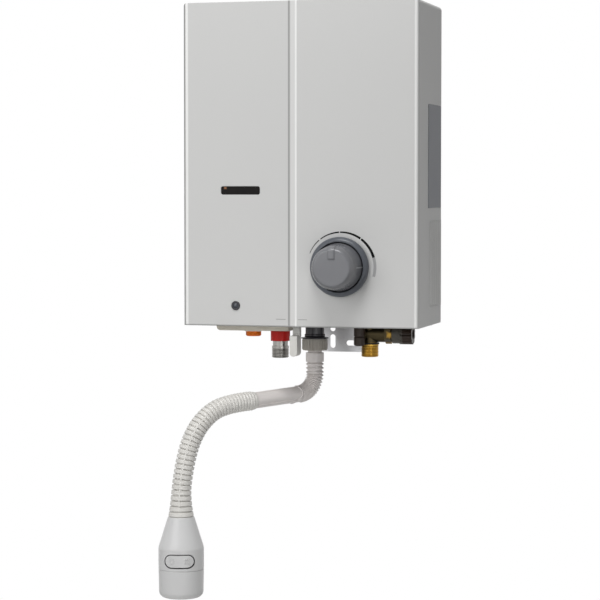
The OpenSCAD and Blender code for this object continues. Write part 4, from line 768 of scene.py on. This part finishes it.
# %% Return spring
SPRING_TURNS = 6
TURN_STEPS = 24
WIRE_R = 0.0007
WIRE_SIDES = 10
low, high = [Vector(corner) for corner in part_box("spindle_spring")]
spring_length = high.y - low.y
coil_r = (high.x - low.x) / 2 - WIRE_R
coil_steps = SPRING_TURNS * TURN_STEPS
bm = bmesh.new()
start = Matrix.Translation((KNOB_AXIS.x + coil_r, high.y - WIRE_R, KNOB_AXIS.z))
bmesh.ops.create_circle(bm, segments=WIRE_SIDES, radius=WIRE_R, matrix=start)
bmesh.ops.spin(bm, geom=bm.verts[:] + bm.edges[:], cent=KNOB_AXIS, axis=(0, 1, 0),
               dvec=(0, -(spring_length - 2 * WIRE_R) / coil_steps, 0),
               angle=2 * math.pi * SPRING_TURNS, steps=coil_steps)
bmesh.ops.holes_fill(bm, edges=[e for e in bm.edges if e.is_boundary], sides=0)
bmesh.ops.recalc_face_normals(bm, faces=bm.faces)
spring = piece_from(bm, "return_spring", "heater", bright_steel)
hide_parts("spindle_spring")
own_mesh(spring)
print("spring of", round(spring_length, 4), "m, coil radius", round(coil_r, 4))

# %% [markdown]
# ## The dial's marks
# Round the upper half of the knob runs a printed arc that grows thicker clockwise, in four dark strokes,
# and ends in a pale stroke at the right. Each stroke is an edge spun about the knob's axis, and its outer
# rim is then pushed out a little more at each step. The ink lies a twentieth of a millimetre proud of the
# enamel.

# %% Dial
def ink(name, colour, shade):
    made = Finish(name, Roughness=0.7, Specular_IOR_Level=0.08)
    grain = made.noise(1800, 2)
    made.set(Base_Color=made.blend(made.ramp(grain, 0.35, 0.65), shade, colour))
    return made.material


dark_ink = ink("dark_ink", tint(9, 9, 10), tint(16, 16, 17))
pale_ink = ink("pale_ink", tint(168, 168, 169), tint(160, 160, 161))
FRONT_Y = -0.145
INK_PROUD = 0.00005
DIAL_R = 0.0400
DIAL_HUB = Vector((KNOB_AXIS.x, FRONT_Y - INK_PROUD, KNOB_AXIS.z))
STROKE_STEPS = 24
DARK_STROKES = [(157, 129.2, 0.0006, 0.0011), (126.6, 92.2, 0.0011, 0.0018),
                (90.6, 54.3, 0.0018, 0.0026), (52.7, 15.6, 0.0026, 0.0033)]
PALE_STROKES = [(15.2, -15.6, 0.0034, 0.0034)]


def stroke(bm, start, stop, thin, thick):
    """A flat arc from start to stop in degrees, clockwise from the front, whose width grows."""
    first = Vector((math.cos(math.radians(start)), 0, math.sin(math.radians(start))))
    inner = bm.verts.new(DIAL_HUB + first * DIAL_R)
    outer = bm.verts.new(DIAL_HUB + first * (DIAL_R + thin))
    edge = bm.edges.new((inner, outer))
    bmesh.ops.spin(bm, geom=[inner, outer, edge], cent=DIAL_HUB, axis=(0, 1, 0),
                   angle=math.radians(start - stop), steps=STROKE_STEPS)
    for v in bm.verts:
        if v.tag:
            continue
        v.tag = True
        arm = v.co - DIAL_HUB
        if arm.length > DIAL_R + thin / 2:
            done = (start - math.degrees(math.atan2(arm.z, arm.x))) / (start - stop)
            v.co = DIAL_HUB + arm.normalized() * (DIAL_R + thin + (thick - thin) * done)


for name, material, strokes in [("dial_strokes", dark_ink, DARK_STROKES),
                                ("dial_pale_stroke", pale_ink, PALE_STROKES)]:
    bm = bmesh.new()
    for each in strokes:
        stroke(bm, *each)
    piece_from(bm, name, "heater", material, smooth=False)
print("dial of", len(DARK_STROKES) + len(PALE_STROKES), "strokes printed")

# %% [markdown]
# ## The lever's lines
# Two fine lines near the case's foot show which way the lever slides, one on each panel.

# %% Lever lines
LINES_X = [(-0.028, -0.016), (0.0, 0.011)]
LINES_Z = -0.351
LINE_WIDTH = 0.0005
LEFT_PANEL_X = -0.012
LEFT_PANEL_Y = -0.142
LEFT_PANEL_WIDTH = 0.133
LEFT_SWEEP = 0.008
line_ink = ink("line_ink", tint(112, 112, 113), tint(122, 122, 123))


def left_panel_y(x):
    """The left panel's outside, which slopes back towards the case's left edge."""
    return LEFT_PANEL_Y + LEFT_SWEEP * (LEFT_PANEL_X - x) / LEFT_PANEL_WIDTH


bm = bmesh.new()
for x0, x1 in LINES_X:
    verts = bmesh.ops.create_grid(bm, x_segments=1, y_segments=1, size=0.5)["verts"]
    bmesh.ops.rotate(bm, verts=verts, cent=(0, 0, 0), matrix=Matrix.Rotation(math.pi / 2, 3, "X"))
    bmesh.ops.scale(bm, vec=(x1 - x0, 1, LINE_WIDTH), verts=verts)
    bmesh.ops.translate(bm, vec=((x0 + x1) / 2, 0, LINES_Z), verts=verts)
    for v in verts:
        v.co.y = (left_panel_y(v.co.x) if x1 < 0 else FRONT_Y) - INK_PROUD
piece_from(bm, "lever_lines", "heater", line_ink, smooth=False)
print("lever's lines printed")

# %% [markdown]
# ## The side plate
# On the right side, above the louvres, sits a thin grey plate with rounded corners. It is left bare.

# %% Side plate
SIDE_X = 0.145
PLATE_Y = (-0.086, -0.006)
PLATE_Z = (-0.219, -0.095)
PLATE_T = 0.0004
PLATE_CORNER = 0.002
plate_film = moulded("plate_film", tint(114, 116, 122), tint(107, 109, 115), 0.5, gloss=0.2)
bm = bmesh.new()
bmesh.ops.create_cube(bm, size=1.0)
bmesh.ops.scale(bm, vec=(PLATE_T, PLATE_Y[1] - PLATE_Y[0], PLATE_Z[1] - PLATE_Z[0]), verts=bm.verts)
bmesh.ops.translate(bm, vec=(SIDE_X + PLATE_T / 2, sum(PLATE_Y) / 2, sum(PLATE_Z) / 2), verts=bm.verts)
corners = [e for e in bm.edges if abs(e.verts[0].co.x - e.verts[1].co.x) > PLATE_T / 2]
bmesh.ops.bevel(bm, geom=corners, offset=PLATE_CORNER, affect="EDGES", segments=4, profile=0.5, material=-1)
piece_from(bm, "side_plate", "heater", plate_film, smooth=False)
print("side plate laid")

# %% [markdown]
# ## Lights
# Plain soft light from the left front and from above, and a weak, narrow fill low at the right.

# %% Lights
def softbox(name, place, aim, size, power, spread=180):
    lamp = bpy.data.lights.new(name, "AREA")
    lamp.spread = math.radians(spread)
    lamp.shape = "RECTANGLE"
    lamp.size, lamp.size_y = size
    lamp.energy = power
    made = bpy.data.objects.new(name, lamp)
    made.location = place
    made.rotation_euler = (Vector(aim) - Vector(place)).to_track_quat("-Z", "Y").to_euler()
    bpy.context.scene.collection.objects.link(made)


softbox("key", (-0.75, -1.7, 0.3), (0, -0.1, -0.3), (1.2, 1.2), 12.2)
softbox("top", (0.12, -0.9, 1.5), (0, -0.1, -0.2), (1.0, 0.6), 26)
softbox("low_fill", (0.55, -1.15, -0.68), (-0.06, -0.14, -0.53), (0.5, 0.4), 0.13, 36)
print("three lights hung")

# %% [markdown]
# ## Surround
# The camera, mirrors and glass see a white surround, while the shadows get less of it.

# %% Surround
SHADOW_STRENGTH = 0.14
SEEN_STRENGTH = 1.0
world = bpy.data.worlds.new("surround")
world.use_nodes = True
tree = world.node_tree
tree.nodes.clear()


def background(strength):
    made = tree.nodes.new("ShaderNodeBackground")
    made.inputs["Color"].default_value = (1, 1, 1, 1)
    made.inputs["Strength"].default_value = strength
    return made.outputs[0]


def either(a, b):
    made = tree.nodes.new("ShaderNodeMath")
    made.operation = "MAXIMUM"
    tree.links.new(a, made.inputs[0])
    tree.links.new(b, made.inputs[1])
    return made.outputs[0]


rays = tree.nodes.new("ShaderNodeLightPath").outputs
seen = either(either(rays["Is Camera Ray"], rays["Is Glossy Ray"]), rays["Is Transmission Ray"])
mixed = tree.nodes.new("ShaderNodeMixShader")
tree.links.new(seen, mixed.inputs["Fac"])
tree.links.new(background(SHADOW_STRENGTH), mixed.inputs[1])
tree.links.new(background(SEEN_STRENGTH), mixed.inputs[2])
ground = tree.nodes.new("ShaderNodeOutputWorld")
tree.links.new(mixed.outputs[0], ground.inputs["Surface"])
bpy.context.scene.world = world
bpy.context.scene.view_settings.view_transform = "Standard"
print("surround ready")

# %% [markdown]
# ## Floor
# A pale floor lies below the shower head.

# %% Floor
FLOOR_SIZE = (3.0, 2.2)
FLOOR_PLACE = (0, -0.85, -0.8)
pale = Finish("pale_floor", Roughness=0.9)
pale.set(Base_Color=pale.blend(pale.noise(3), tint(236, 236, 235), tint(241, 241, 240)))
bm = bmesh.new()
bmesh.ops.create_grid(bm, x_segments=1, y_segments=1, size=0.5)
bmesh.ops.scale(bm, vec=(*FLOOR_SIZE, 1), verts=bm.verts)
bmesh.ops.translate(bm, vec=FLOOR_PLACE, verts=bm.verts)
sheet = bpy.data.meshes.new("floor")
bm.to_mesh(sheet)
bm.free()
sheet.materials.append(pale.material)
floor = bpy.data.objects.new("floor", sheet)
bpy.context.scene.collection.objects.link(floor)
print("floor laid")

# %% Finish
print("scene built")
